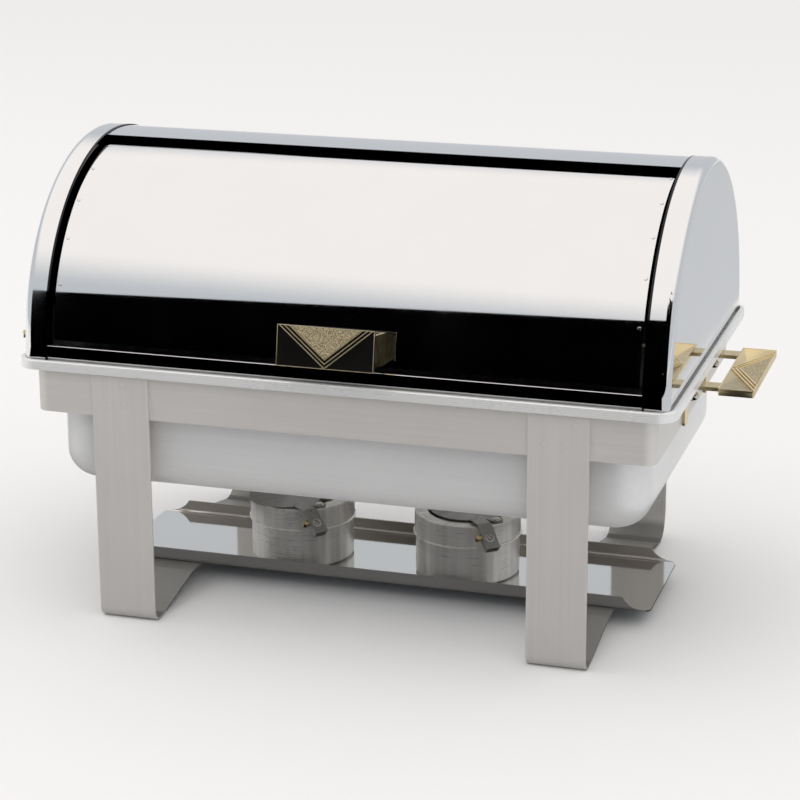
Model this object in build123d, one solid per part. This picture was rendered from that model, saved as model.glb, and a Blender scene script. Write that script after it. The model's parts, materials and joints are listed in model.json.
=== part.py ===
from build123d import *
import os
from math import cos, radians, sin

# Full-size roll-top chafing dish: a stainless stand on two bent leg straps, a water pan hung in
# the stand's collar, a gastronorm food pan, a D-ended dome with a rolling front cover, two brass
# carrying handles and two fuel holders on a shelf.
# Millimetres. X runs along the length, -Y is the front (serving side), +Z is up.
# Origin: on the floor, under the middle of the whole object's length and depth. The pieces are
# modelled about the middle of the stand, and main() moves them all to that origin.

# ---- driving dimensions ----------------------------------------------------------------
SHEET = 1.2               # pressed sheet of the pans, dome and shelf

# gastronorm 1/1 food pan, which sets the size of the rim, collar, water pan and dome round it
FOOD_FLANGE_LENGTH = 530.0
FOOD_FLANGE_DEPTH = 325.0
FOOD_HEIGHT = 65.0
FOOD_WALL = 0.9
FOOD_FLANGE_WIDTH = 13.0
FOOD_CORNER = 45.0
FOOD_BOTTOM_RADIUS = 14.0

# rim frame
RIM_MARGIN_LENGTH = 43.0  # food pan flange to the outside of the rim, at each end
RIM_MARGIN_DEPTH = 23.5   # the same at the front and the rear
RIM_CORNER = 18.0
RIM_SKIRT = 9.0           # height of the turned-down skirt
RIM_LIP = 4.0             # width of the rolled lip
RIM_EDGE_RADIUS = 1.4
CHANNEL_DEPTH = 4.8       # lip top down to the floor of the channel
OPENING_SEAT = 7.0        # width of the food pan's flange that bears on the frame
OPENING_CORNER = 48.0

# stand
COLLAR_TOP = 241.8
COLLAR_HEIGHT = 42.8
COLLAR_INSET_LENGTH = 16.8  # outside of the rim to the outside of the collar, at each end
COLLAR_INSET_DEPTH = 5.7    # the same at the front and the rear
COLLAR_WALL = 1.5
COLLAR_CORNER = 12.0
SKIRT_GAP = 1.4           # straps and handles stop this far under the rim's skirt
STRAP_WIDTH = 55.0
STRAP_GAUGE = 2.0
STRAP_INSET = 85.5        # end of the collar to the middle of a strap
FOOT_LENGTH = 16.0        # flat pad on the floor
FRONT_FOOT_BEND = 11.0    # outer radius
REAR_FOOT_BEND = 28.0     # outer radius
PLATFORM_TOP = 16.0       # raised middle of each strap, which carries the shelf
PLATFORM_MARGIN = 19.0    # raised middle beyond the shelf, front and rear
STRAP_EASE = 12.0         # radius of the shallow bends

# water pan
PAN_GAP_LENGTH = 11.2     # outside of the collar to the pan's side, at each end
PAN_GAP_DEPTH = 15.3      # the same at the front and the rear
PAN_CORNER = 35.0
PAN_DROP = 116.4          # collar's top down to the pan's underside
PAN_BOTTOM_RADIUS = 28.0

# burner shelf
SHELF_INSET = 24.2        # end of the collar to the end of the shelf
SHELF_FLANGE = 13.0       # height of the front and rear flanges above the shelf's underside
SHELF_BEND = 4.0          # outer radius of the flange bends
SHELF_FLAT_END = 6.0      # stretch beyond the end of each flange
SHELF_TAPER = 20.0        # length over which a flange runs down to the plate
SHELF_HOLLOW = 2.5        # sag of a flange's end slope
SHELF_CORNER = 9.0

# dome: a half cylinder lying along X, with D-shaped ends
DOME_FIT = 2.0            # dome inside the rim's lip, all round
DOME_AXIS_RISE = 6.8      # channel floor to the cylinder's axis, which is the cover's pivot too
BAND_WIDTH = 24.0
BAND_EDGE_RADIUS = 8.0
BAND_LIP_DEPTH = 14.0
SHELL_STEP = 1.0          # the rear shell lies this far inside the bands
SHELL_FRONT_ANGLE = 82.5  # degrees above the front horizontal where the rear shell begins
RAIL_HEIGHT = 17.6
RAIL_LEDGE = 5.0
CHANNEL_GAP = 0.2         # the dome's foot above the floor of the channel

# rolling cover
COVER_STEP = 7.0          # the cover lies this far inside the bands
COVER_END_GAP = 4.0       # end cap's band to the end of the cover
COVER_START = 5.0         # degrees above the front horizontal
COVER_END = 92.0
HEM_DEPTH = 3.5
HEM_ANGLE = 1.4
PIVOT_RADIUS = 3.0
HUB_RADIUS = 6.0
HUB_LENGTH = 9.0
HUB_GAP = 1.0             # hub to the pin's shoulder
PIVOT_FIT = 0.05          # running clearance of a hub or a rivet

# handle of the rolling cover
GRIP_LENGTH = 90.0
GRIP_HEIGHT = 37.0
GRIP_GAUGE = 3.0
GRIP_CORNER = 1.0
GRIP_CHAMFER = 0.6
GRIP_ANGLE = 10.4         # degrees above the front horizontal
GRIP_STANDOFF = 33.0      # cover to the front face of the grip
GRIP_ARM_HEIGHT = 29.0
GRIP_ARM_GAUGE = 2.5
GRIP_FOOT = 14.0
GRIP_SINK = 1.2           # the arms run this far in before they are cut to the cover's curve
GRIP_SCREW_RADIUS = 2.0
GRIP_SCREW_HEAD = 1.4
GRIP_SCREW_PITCH = 14.0
GRIP_SCREW_SEAT = 0.5     # a screw head below the cover, clear of its curved inner face

# carrying handles at the two ends
HANDLE_LENGTH = 134.0     # along Y
HANDLE_WIDTH = 32.0       # along X
HANDLE_GAUGE = 6.5
HANDLE_CORNER = 1.6
HANDLE_EDGE = 0.8
HANDLE_REACH = 32.8       # collar to the inner edge of the grip plate
BRACKET_INSET = 15.0      # end of the grip plate to the middle of a bracket
BRACKET_WIDTH = 16.0
BRACKET_GAUGE = 3.5
BRACKET_BEND = 2.0
TAB_GAUGE = 2.5
TAB_CORNER = 5.0
TAB_OVERHANG = 2.0        # tab below the collar
NUT_CLEARANCE = 0.6       # nut below the rounding of the bracket's bend
BOLT_RADIUS = 2.5
BOLT_HEAD = 1.6
BOLT_REACH = 4.8          # bolt inside its nut
NUT_BORE_GAP = 0.2        # nut's blind bore beyond the bolt's end
NUT_RADIUS = 5.5
NUT_HEIGHT = 6.0
NUT_DOME = 5.0
NUT_DOME_RADIUS = 4.51

# fuel holders
HOLDER_X = (-91.7, 76.3)
HOLDER_FRONT_GAP = 10.0   # wall of a holder to the outside of the shelf's front flange
HOLDER_REAR_GAP = 24.0    # the same to the rear flange
HOLDER_TURN = (-13.0, 0.0)  # each holder about its own axis, as it stands
HOLDER_RADIUS = 50.0
HOLDER_GAUGE = 1.0
HOLDER_BOTTOM_RADIUS = 3.5
HOLDER_HEIGHT = 47.2
COVER_SLEEVE_FIT = 0.02   # running fit of the top sleeve on the holder
SLEEVE_RISE = 14.0        # sleeve's top above the holder's
SLEEVE_OVERLAP = 9.0      # sleeve's bead below the holder's top
BEAD_RADIUS = 1.3
VENT_LEDGE = 11.5         # flat ring round the vent
FUEL_GAP = 7.0            # fuel can inside the holder
FUEL_SINK = 4.0           # fuel can's top below the holder's, and its raised rim's width
FUEL_RIM = 3.0
LID_GAUGE = 1.0
LID_GAP = 0.9             # lid above the sleeve's top, as its washer holds it
LID_MARGIN = 2.0          # lid smaller than the vent, all round
LID_PIVOT_INSET = 6.0     # outside of the holder to the lid's pivot
LID_PIVOT_ANGLE = -36.5
LID_BRIDGE_LAP = 4.0      # tongue's run on to the lid
TONGUE_WIDTH = 13.0       # tongue of the lid round its pivot
LID_OPEN = (25.0, 0.0)    # each lid's swing from closed, as the part stands
LEVER_WIDTH = 14.0
LEVER_GAUGE = 1.1
LEVER_LAP = 4.1           # lever's inner end inside the lid's edge
LEVER_START_ANGLE = -62.2  # where the lever lies round a closed lid
LEVER_YAW = -49.2         # the way it points
LEVER_FLAT = 19.4         # inner end to the bend, past the sleeve
LEVER_BEND = 4.0
LEVER_SLOPE = 38.6
LEVER_DROP_LENGTH = 26.8
LEVER_LOOP = 8.0          # depth of the folded grip
LEVER_END_CORNER = 3.0
LEVER_LOOP_CORNER = 1.6
LEVER_LOOP_START = 9.0    # from the bend to the folded grip
RIVET_RADIUS = 2.0
RIVET_HEAD = 1.4

# ---- derived sizes ---------------------------------------------------------------------
RIM_LENGTH = FOOD_FLANGE_LENGTH + 2 * RIM_MARGIN_LENGTH
RIM_DEPTH = FOOD_FLANGE_DEPTH + 2 * RIM_MARGIN_DEPTH
CHANNEL_FLOOR = COLLAR_TOP + 2 * SHEET
RIM_TOP = CHANNEL_FLOOR + CHANNEL_DEPTH
SKIRT_BOTTOM = RIM_TOP - RIM_SKIRT
OPENING_LENGTH = FOOD_FLANGE_LENGTH - 2 * OPENING_SEAT
OPENING_DEPTH = FOOD_FLANGE_DEPTH - 2 * OPENING_SEAT
COLLAR_LENGTH = RIM_LENGTH - 2 * COLLAR_INSET_LENGTH
COLLAR_DEPTH = RIM_DEPTH - 2 * COLLAR_INSET_DEPTH
COLLAR_BOTTOM = COLLAR_TOP - COLLAR_HEIGHT
PAN_LENGTH = COLLAR_LENGTH - 2 * PAN_GAP_LENGTH
PAN_DEPTH = COLLAR_DEPTH - 2 * PAN_GAP_DEPTH
PAN_BOTTOM = COLLAR_TOP - PAN_DROP
STRAP_TOP = SKIRT_BOTTOM - SKIRT_GAP
STRAP_CENTRE = COLLAR_LENGTH / 2 - STRAP_INSET
STRAP_FACE = COLLAR_DEPTH / 2 + STRAP_GAUGE
SHELF_DEPTH = 2 * HOLDER_RADIUS + HOLDER_FRONT_GAP + HOLDER_REAR_GAP
HOLDER_Y = HOLDER_RADIUS + HOLDER_FRONT_GAP - SHELF_DEPTH / 2
PLATFORM_HALF = SHELF_DEPTH / 2 + PLATFORM_MARGIN
SHELF_LENGTH = COLLAR_LENGTH - 2 * SHELF_INSET
SHELF_TOP = PLATFORM_TOP + SHEET
DOME_LENGTH = RIM_LENGTH - 2 * (RIM_LIP + DOME_FIT)
DOME_RADIUS = RIM_DEPTH / 2 - RIM_LIP - DOME_FIT
DOME_AXIS_Z = CHANNEL_FLOOR + DOME_AXIS_RISE
DOME_FOOT = CHANNEL_FLOOR + CHANNEL_GAP
BAND_X = DOME_LENGTH / 2 - BAND_WIDTH
COVER_RADIUS = DOME_RADIUS - COVER_STEP
COVER_LENGTH = 2 * (BAND_X - COVER_END_GAP)
HANDLE_TOP = SKIRT_BOTTOM - SKIRT_GAP
BRACKET_OFFSET = HANDLE_LENGTH / 2 - BRACKET_INSET
TAB_BOTTOM = COLLAR_BOTTOM - TAB_OVERHANG
ARM_BOTTOM = HANDLE_TOP - (HANDLE_GAUGE + BRACKET_GAUGE) / 2
BOLT_Z = ARM_BOTTOM - BRACKET_BEND - NUT_CLEARANCE - NUT_RADIUS
HOLDER_INNER = HOLDER_RADIUS - HOLDER_GAUGE
SLEEVE_INNER = HOLDER_RADIUS + COVER_SLEEVE_FIT
SLEEVE_OUTER = SLEEVE_INNER + HOLDER_GAUGE
SLEEVE_TOP = HOLDER_HEIGHT + SLEEVE_RISE
SLEEVE_BEAD_Z = HOLDER_HEIGHT - SLEEVE_OVERLAP
VENT_RADIUS = HOLDER_RADIUS - VENT_LEDGE
FUEL_RADIUS = HOLDER_INNER - FUEL_GAP
FUEL_HEIGHT = HOLDER_HEIGHT - FUEL_SINK
LID_RADIUS = VENT_RADIUS - LID_MARGIN
LID_PIVOT_RADIUS = HOLDER_RADIUS - LID_PIVOT_INSET
LEVER_START_RADIUS = LID_RADIUS - LEVER_LAP
LID_Z = SHELF_TOP + SLEEVE_TOP + LID_GAP


# ---- general shapes --------------------------------------------------------------------
def rounded_block(length, depth, corner, z_low, z_high):
    """An upright block on the origin's axis with rounded vertical corners."""
    return Pos(0, 0, z_low) * extrude(RectangleRounded(length, depth, corner), z_high - z_low)


def pan_block(length, depth, corner, z_low, z_high, bottom_radius):
    """A rounded block whose bottom edges are rounded as well."""
    block = rounded_block(length, depth, corner, z_low, z_high)
    return fillet(block.faces().sort_by(Axis.Z)[0].edges(), bottom_radius)


def end_profile(radius, foot):
    """D-shaped face in the YZ plane: a half disc on the dome's axis with legs down to foot."""
    centre = Plane.YZ * Pos(0, DOME_AXIS_Z)
    disc = centre * Circle(radius)
    block = Plane.YZ * Pos(0, (DOME_AXIS_Z + foot) / 2) * Rectangle(2 * radius, DOME_AXIS_Z - foot)
    cutter = Plane.YZ * Pos(0, foot - radius) * Rectangle(4 * radius, 2 * radius)
    return disc + block - cutter


def polar(radius, angle):
    """Y and Z of a point on a circle about the dome's axis, by degrees above the front."""
    return (-radius * cos(radians(angle)), DOME_AXIS_Z + radius * sin(radians(angle)))


def sector(inner, outer, start, end):
    """Ring-sector face in the YZ plane between two angles above the front horizontal."""
    middle = (start + end) / 2
    corner = [polar(inner, start), polar(outer, start), polar(outer, end), polar(inner, end)]
    line = Curve() + [
        Line(corner[0], corner[1]),
        ThreePointArc(corner[1], polar(outer, middle), corner[2]),
        Line(corner[2], corner[3]),
        ThreePointArc(corner[3], polar(inner, middle), corner[0]),
    ]
    return Plane.YZ * make_face(line)


def along_x(face, x_low, x_high):
    """Extrude a YZ face from one X to another."""
    return Pos(x_low, 0, 0) * extrude(face, x_high - x_low)


def polar_frame(angle, radius):
    """Frame on the dome: X along the length, Y up round the circle, Z outward."""
    y, z = polar(radius, angle)
    outward = (0, -cos(radians(angle)), sin(radians(angle)))
    return Plane(origin=(0, y, z), x_dir=(1, 0, 0), z_dir=outward)


def strip_face(points, radii, gauge):
    """Section of a bent strip: a centre line of straight runs, a radius at each bend, a gauge."""
    turns = []
    for before, here, after in zip(points, points[1:], points[2:]):
        u = (Vector(*here) - Vector(*before)).normalized()
        v = (Vector(*after) - Vector(*here)).normalized()
        turns.append((u, v, 1 if u.cross(v).Z > 0 else -1))
    first, last = turns[0][0], turns[-1][1]
    sides = []
    for way in (-1, 1):
        shift = way * gauge / 2
        line = [Vector(*points[0]) + first.rotate(Axis.Z, 90) * shift]
        bends = []
        for here, radius, (u, v, turn) in zip(points[1:-1], radii, turns):
            normal = (u.rotate(Axis.Z, 90) + v.rotate(Axis.Z, 90)).normalized()
            stretch = normal.dot(u.rotate(Axis.Z, 90))
            line.append(Vector(*here) + normal * (shift / stretch))
            bends.append(radius - way * turn * gauge / 2)
        line.append(Vector(*points[-1]) + last.rotate(Axis.Z, 90) * shift)
        sides.append(FilletPolyline(*line, radius=bends))
    ends = [Line(sides[0] @ 0, sides[1] @ 0), Line(sides[0] @ 1, sides[1] @ 1)]
    return make_face(Curve() + sides + ends)


# ---- stand -----------------------------------------------------------------------------
def collar_band():
    """Band that joins the legs and holds the water pan."""
    outer = rounded_block(COLLAR_LENGTH, COLLAR_DEPTH, COLLAR_CORNER, COLLAR_BOTTOM, COLLAR_TOP)
    inner_length = COLLAR_LENGTH - 2 * COLLAR_WALL
    inner_depth = COLLAR_DEPTH - 2 * COLLAR_WALL
    inner_corner = COLLAR_CORNER - COLLAR_WALL
    inner = rounded_block(inner_length, inner_depth, inner_corner, COLLAR_BOTTOM - 1, COLLAR_TOP + 1)
    band = outer - inner
    for side in (-1, 1):
        for offset in (-BRACKET_OFFSET, BRACKET_OFFSET):
            hole = Rot(0, 90, 0) * Cylinder(BOLT_RADIUS, 4 * COLLAR_WALL)
            band -= Pos(side * (COLLAR_LENGTH - COLLAR_WALL) / 2, offset, BOLT_Z) * hole
    return band


def leg_strap(side):
    """One bent strap: front leg, front foot, raised middle, rear foot and rear leg."""
    half = STRAP_GAUGE / 2
    front = -STRAP_FACE + half
    rear = STRAP_FACE - half
    ramp_front = -STRAP_FACE + FOOT_LENGTH
    ramp_rear = STRAP_FACE - FOOT_LENGTH - REAR_FOOT_BEND / 2
    middle = PLATFORM_TOP - half
    points = [
        (front, STRAP_TOP),
        (front, half),
        (ramp_front, half),
        (-PLATFORM_HALF, middle),
        (PLATFORM_HALF, middle),
        (ramp_rear, half),
        (rear, half),
        (rear, STRAP_TOP),
    ]
    ease = STRAP_EASE
    bends = [FRONT_FOOT_BEND - half, ease, ease, ease, ease, REAR_FOOT_BEND - half]
    profile = strip_face(points, bends, STRAP_GAUGE)
    x_low = side * STRAP_CENTRE - STRAP_WIDTH / 2
    return along_x(Plane.YZ * profile, x_low, x_low + STRAP_WIDTH)


def burner_shelf():
    """Tray on the straps, with front and rear flanges that run down to nothing at the ends."""
    bottom = PLATFORM_TOP
    top = bottom + SHELF_FLANGE
    half = SHELF_DEPTH / 2
    outer = [(-half, top), (-half, bottom), (half, bottom), (half, top)]
    inner = [(y - SHEET if y > 0 else y + SHEET, top if z == top else z + SHEET) for y, z in outer]
    outer_path = FilletPolyline(*outer, radius=SHELF_BEND)
    inner_path = FilletPolyline(*inner, radius=SHELF_BEND - SHEET)
    caps = [Line(outer[0], inner[0]), Line(outer[3], inner[3])]
    section = Plane.YZ * make_face(Curve() + [outer_path, inner_path] + caps)
    shelf = along_x(section, -SHELF_LENGTH / 2, SHELF_LENGTH / 2)
    for side in (-1, 1):
        shelf -= flange_end_cut(side)
    outline = rounded_block(SHELF_LENGTH, SHELF_DEPTH, SHELF_CORNER, bottom - 1, top + 1)
    return shelf & outline


def flange_end_cut(side):
    """Cutter that leaves the end of each shelf flange with a hollow slope."""
    plate = SHELF_TOP + 0.4
    above = PLATFORM_TOP + SHELF_FLANGE + 1
    end = SHELF_LENGTH / 2 - SHELF_FLAT_END
    start = end - SHELF_TAPER
    beyond = SHELF_LENGTH / 2 + 1
    middle = ((start + end) / 2 - SHELF_HOLLOW, (plate + above) / 2 - SHELF_HOLLOW)
    line = Curve() + [
        ThreePointArc((start, above), middle, (end, plate)),
        Line((end, plate), (beyond, plate)),
        Line((beyond, plate), (beyond, above)),
        Line((beyond, above), (start, above)),
    ]
    face = make_face(line)
    cutter = extrude(Plane.XZ * face, SHELF_DEPTH, both=True)
    return cutter if side > 0 else mirror(cutter, Plane.YZ)


# ---- water pan and food pan ------------------------------------------------------------
def rim_frame():
    """Mirror-finished frame: rolled lip, condensate channel and opening for the food pan."""
    inner_length = RIM_LENGTH - 2 * RIM_LIP
    inner_depth = RIM_DEPTH - 2 * RIM_LIP
    inner_corner = RIM_CORNER - RIM_LIP
    frame = rounded_block(RIM_LENGTH, RIM_DEPTH, RIM_CORNER, SKIRT_BOTTOM, RIM_TOP)
    frame = fillet(frame.faces().sort_by(Axis.Z)[-1].edges(), RIM_EDGE_RADIUS)
    frame -= rounded_block(inner_length, inner_depth, inner_corner, CHANNEL_FLOOR, RIM_TOP + 1)
    under_length = RIM_LENGTH - 2 * SHEET
    under_depth = RIM_DEPTH - 2 * SHEET
    under_corner = RIM_CORNER - SHEET
    under_top = CHANNEL_FLOOR - SHEET
    frame -= rounded_block(under_length, under_depth, under_corner, SKIRT_BOTTOM - 1, under_top)
    frame -= rounded_block(OPENING_LENGTH, OPENING_DEPTH, OPENING_CORNER, SKIRT_BOTTOM - 1, RIM_TOP)
    return frame


def water_pan():
    """Deep water pan with a flange that rests on the collar, under the rim frame."""
    flange_top = COLLAR_TOP + SHEET
    body = pan_block(PAN_LENGTH, PAN_DEPTH, PAN_CORNER, PAN_BOTTOM, flange_top, PAN_BOTTOM_RADIUS)
    flange = rounded_block(COLLAR_LENGTH, COLLAR_DEPTH, COLLAR_CORNER, COLLAR_TOP, flange_top)
    hollow = pan_block(
        PAN_LENGTH - 2 * SHEET,
        PAN_DEPTH - 2 * SHEET,
        PAN_CORNER - SHEET,
        PAN_BOTTOM + SHEET,
        flange_top + 1,
        PAN_BOTTOM_RADIUS - SHEET,
    )
    return body + flange - hollow


def food_pan():
    """Gastronorm 1/1 pan, whose flange rests on the rim frame round its opening."""
    top = CHANNEL_FLOOR + FOOD_WALL
    flange_corner = FOOD_CORNER + FOOD_FLANGE_WIDTH - 2
    flange = rounded_block(
        FOOD_FLANGE_LENGTH, FOOD_FLANGE_DEPTH, flange_corner, CHANNEL_FLOOR, top
    )
    body_length = FOOD_FLANGE_LENGTH - 2 * FOOD_FLANGE_WIDTH
    body_depth = FOOD_FLANGE_DEPTH - 2 * FOOD_FLANGE_WIDTH
    bottom = top - FOOD_HEIGHT
    body = pan_block(body_length, body_depth, FOOD_CORNER, bottom, top, FOOD_BOTTOM_RADIUS)
    hollow = pan_block(
        body_length - 2 * FOOD_WALL,
        body_depth - 2 * FOOD_WALL,
        FOOD_CORNER - FOOD_WALL,
        bottom + FOOD_WALL,
        top + 1,
        FOOD_BOTTOM_RADIUS - FOOD_WALL,
    )
    return body + flange - hollow


# ---- dome ------------------------------------------------------------------------------
def dome_end_cap(side):
    """D-shaped pressed end: side wall, rounded edge, raised band and its turned-in lip."""
    outside = DOME_LENGTH / 2
    outer = along_x(end_profile(DOME_RADIUS, DOME_FOOT), BAND_X, outside)
    rim_edges = outer.faces().sort_by(Axis.X)[-1].edges()
    rim_edges = rim_edges.filter_by(lambda e: e.center().Z > DOME_FOOT + 0.5)
    outer = fillet(rim_edges, BAND_EDGE_RADIUS)
    foot = DOME_FOOT - 2 * BAND_EDGE_RADIUS
    inner = along_x(end_profile(DOME_RADIUS - SHEET, foot), BAND_X + SHEET, outside - SHEET)
    inner_edges = inner.faces().sort_by(Axis.X)[-1].edges()
    inner = fillet(inner_edges, BAND_EDGE_RADIUS - SHEET)
    window = along_x(end_profile(DOME_RADIUS - BAND_LIP_DEPTH, foot), BAND_X - 1, BAND_X + 2 * SHEET)
    cap = outer - inner - window
    return cap if side > 0 else mirror(cap, Plane.YZ)


def dome_rear_shell():
    """Fixed rear half of the dome, with a straight skirt down to the channel."""
    outer = DOME_RADIUS - SHELL_STEP
    inner = outer - SHEET
    curved = along_x(sector(inner, outer, SHELL_FRONT_ANGLE, 180), -BAND_X, BAND_X)
    height = DOME_AXIS_Z - DOME_FOOT
    skirt = Pos(0, (inner + outer) / 2, DOME_FOOT + height / 2) * Box(2 * BAND_X, SHEET, height)
    return curved + skirt


def dome_front_rail():
    """Fixed rail under the rolling cover, with a ledge turned in at its top."""
    face = DOME_RADIUS - SHELL_STEP
    top = DOME_FOOT + RAIL_HEIGHT
    upright = Pos(0, -face + SHEET / 2, (DOME_FOOT + top) / 2) * Box(2 * BAND_X, SHEET, RAIL_HEIGHT)
    ledge = Pos(0, -face + RAIL_LEDGE / 2, top - SHEET / 2) * Box(2 * BAND_X, RAIL_LEDGE, SHEET)
    rail = upright + ledge
    corner = rail.edges().filter_by(Axis.X).filter_by(
        lambda e: abs(e.center().Y + face) < 0.1 and abs(e.center().Z - top) < 0.1
    )
    return fillet(corner, SHEET * 0.6)


def pivot_pin(side):
    """Pin welded inside an end cap, on which the rolling cover turns."""
    wall = DOME_LENGTH / 2 - SHEET
    inner_end = COVER_LENGTH / 2 - HUB_LENGTH / 2
    shank = Rot(0, 90, 0) * Cylinder(PIVOT_RADIUS, wall - inner_end)
    collar_length = wall - COVER_LENGTH / 2 - HUB_LENGTH / 2 - HUB_GAP
    collar = Rot(0, 90, 0) * Cylinder(HUB_RADIUS, collar_length)
    pin = Pos((wall + inner_end) / 2, 0, DOME_AXIS_Z) * shank
    pin += Pos(wall - collar_length / 2, 0, DOME_AXIS_Z) * collar
    return pin if side > 0 else mirror(pin, Plane.YZ)


# ---- rolling cover ---------------------------------------------------------------------
def rolling_cover():
    """Quarter-cylinder cover with a folded hem along its front edge."""
    inner = COVER_RADIUS - SHEET
    half = COVER_LENGTH / 2
    sheet = along_x(sector(inner, COVER_RADIUS, COVER_START, COVER_END), -half, half)
    hem_face = sector(COVER_RADIUS - HEM_DEPTH, COVER_RADIUS, COVER_START, COVER_START + HEM_ANGLE)
    hem_half = half - 2 * SHEET
    cover = sheet + along_x(hem_face, -hem_half, hem_half)
    for side in (-1, 1):
        for row in (-1, 1):
            cover -= grip_screw_hole(side, row)
    return cover


def cover_side_plate(side):
    """Sector plate that carries one end of the rolling cover, with the hub it turns on."""
    outer = COVER_RADIUS - SHEET
    half = COVER_LENGTH / 2
    corner = [(0, DOME_AXIS_Z), polar(outer, COVER_START), polar(outer, COVER_END)]
    middle = polar(outer, (COVER_START + COVER_END) / 2)
    line = Curve() + [
        Line(corner[0], corner[1]),
        ThreePointArc(corner[1], middle, corner[2]),
        Line(corner[2], corner[0]),
    ]
    plate = along_x(Plane.YZ * make_face(line), half - SHEET, half)
    hub = Pos(half, 0, DOME_AXIS_Z) * Rot(0, 90, 0) * Cylinder(HUB_RADIUS, HUB_LENGTH)
    bore = Rot(0, 90, 0) * Cylinder(PIVOT_RADIUS + PIVOT_FIT, 3 * HUB_LENGTH)
    plate = plate + hub - Pos(half, 0, DOME_AXIS_Z) * bore
    return plate if side > 0 else mirror(plate, Plane.YZ)


def grip_screw_place(side, row):
    """Frame of one grip screw, at the cover's outer surface."""
    x = side * (GRIP_LENGTH / 2 - GRIP_ARM_GAUGE - GRIP_FOOT / 2)
    return polar_frame(GRIP_ANGLE, COVER_RADIUS) * Pos(x, row * GRIP_SCREW_PITCH / 2, 0)


def grip_screw_hole(side, row):
    """Clearance hole of one grip screw, through the cover and the foot."""
    return grip_screw_place(side, row) * Cylinder(GRIP_SCREW_RADIUS, 8 * SHEET)


def grip_screws():
    """Four pan-head screws from inside the cover into the feet of the grip."""
    head_height = GRIP_SCREW_HEAD
    screws = []
    for side in (-1, 1):
        for row in (-1, 1):
            place = grip_screw_place(side, row)
            shank_low = -SHEET - GRIP_SCREW_SEAT
            shank_high = GRIP_ARM_GAUGE
            middle = (shank_low + shank_high) / 2
            shank = place * Pos(0, 0, middle) * Cylinder(GRIP_SCREW_RADIUS, shank_high - shank_low)
            head_z = -SHEET - head_height / 2 - GRIP_SCREW_SEAT
            head = place * Pos(0, 0, head_z) * Cylinder(2 * GRIP_SCREW_RADIUS, head_height)
            screws.append(shank + head)
    return Compound(screws)


def grip_bracket():
    """Two arms that stand the grip off the cover, each with a foot turned in against it."""
    back = GRIP_STANDOFF - GRIP_GAUGE
    frame = polar_frame(GRIP_ANGLE, COVER_RADIUS)
    arms = []
    for side in (-1, 1):
        arm_x = side * (GRIP_LENGTH - GRIP_ARM_GAUGE) / 2
        foot_x = side * (GRIP_LENGTH / 2 - GRIP_FOOT / 2 - GRIP_ARM_GAUGE / 2)
        arm = Box(GRIP_ARM_GAUGE, GRIP_ARM_HEIGHT, back + GRIP_SINK)
        arm = frame * Pos(arm_x, 0, (back - GRIP_SINK) / 2) * arm
        foot_box = Box(GRIP_FOOT + GRIP_ARM_GAUGE, GRIP_ARM_HEIGHT, GRIP_ARM_GAUGE + GRIP_SINK)
        foot = frame * Pos(foot_x, 0, (GRIP_ARM_GAUGE - GRIP_SINK) / 2) * foot_box
        arms.append(arm + foot)
    bracket = arms[0] + arms[1]
    bracket -= frame * Pos(0, 0, back + 1) * Box(2 * GRIP_LENGTH, 2 * GRIP_HEIGHT, 2)
    bracket -= Pos(0, 0, DOME_AXIS_Z) * Rot(0, 90, 0) * Cylinder(COVER_RADIUS, 2 * GRIP_LENGTH)
    for side in (-1, 1):
        for row in (-1, 1):
            bracket -= grip_screw_hole(side, row)
    return bracket


def grip_plate():
    """Flat grip plate in front of the rolling cover."""
    frame = polar_frame(GRIP_ANGLE, COVER_RADIUS)
    plate = Pos(0, 0, GRIP_STANDOFF - GRIP_GAUGE / 2) * Box(GRIP_LENGTH, GRIP_HEIGHT, GRIP_GAUGE)
    plate = fillet(plate.edges().filter_by(Axis.Z), GRIP_CORNER)
    plate = chamfer(plate.faces().sort_by(Axis.Z)[-1].edges(), GRIP_CHAMFER)
    return frame * plate


# ---- carrying handles ------------------------------------------------------------------
def handle_plate(side):
    """Brass grip plate of a carrying handle."""
    x = COLLAR_LENGTH / 2 + HANDLE_REACH + HANDLE_WIDTH / 2
    plate = Box(HANDLE_WIDTH, HANDLE_LENGTH, HANDLE_GAUGE)
    plate = fillet(plate.edges().filter_by(Axis.Z), HANDLE_CORNER)
    plate = fillet(plate.faces().sort_by(Axis.Z)[-1].edges(), HANDLE_EDGE)
    return Pos(side * x, 0, HANDLE_TOP - HANDLE_GAUGE / 2) * plate


def handle_bracket(side, offset):
    """Bent strip: a tab on the collar and an arm out to the grip plate."""
    base = COLLAR_LENGTH / 2
    arm_top = HANDLE_TOP - (HANDLE_GAUGE - BRACKET_GAUGE) / 2
    tab_height = arm_top - TAB_BOTTOM
    tab = Pos(base + TAB_GAUGE / 2, offset, TAB_BOTTOM + tab_height / 2)
    tab *= Box(TAB_GAUGE, BRACKET_WIDTH, tab_height)
    arm = Pos(base + HANDLE_REACH / 2, offset, arm_top - BRACKET_GAUGE / 2)
    arm *= Box(HANDLE_REACH, BRACKET_WIDTH, BRACKET_GAUGE)
    bracket = tab + arm
    arm_bottom = arm_top - BRACKET_GAUGE
    inside = bracket.edges().filter_by(Axis.Y)
    inside = inside.filter_by(lambda e: abs(e.center().X - base - TAB_GAUGE) < 0.1)
    inside = inside.filter_by(lambda e: abs(e.center().Z - arm_bottom) < 0.1)
    bracket = fillet(inside, BRACKET_BEND)
    lower = bracket.edges().filter_by(Axis.X).filter_by(lambda e: e.center().Z < TAB_BOTTOM + 0.1)
    bracket = fillet(lower, TAB_CORNER)
    hole = Rot(0, 90, 0) * Cylinder(BOLT_RADIUS, 4 * TAB_GAUGE)
    bracket -= Pos(base + TAB_GAUGE / 2, offset, BOLT_Z) * hole
    return bracket if side > 0 else mirror(bracket, Plane.YZ)


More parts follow.
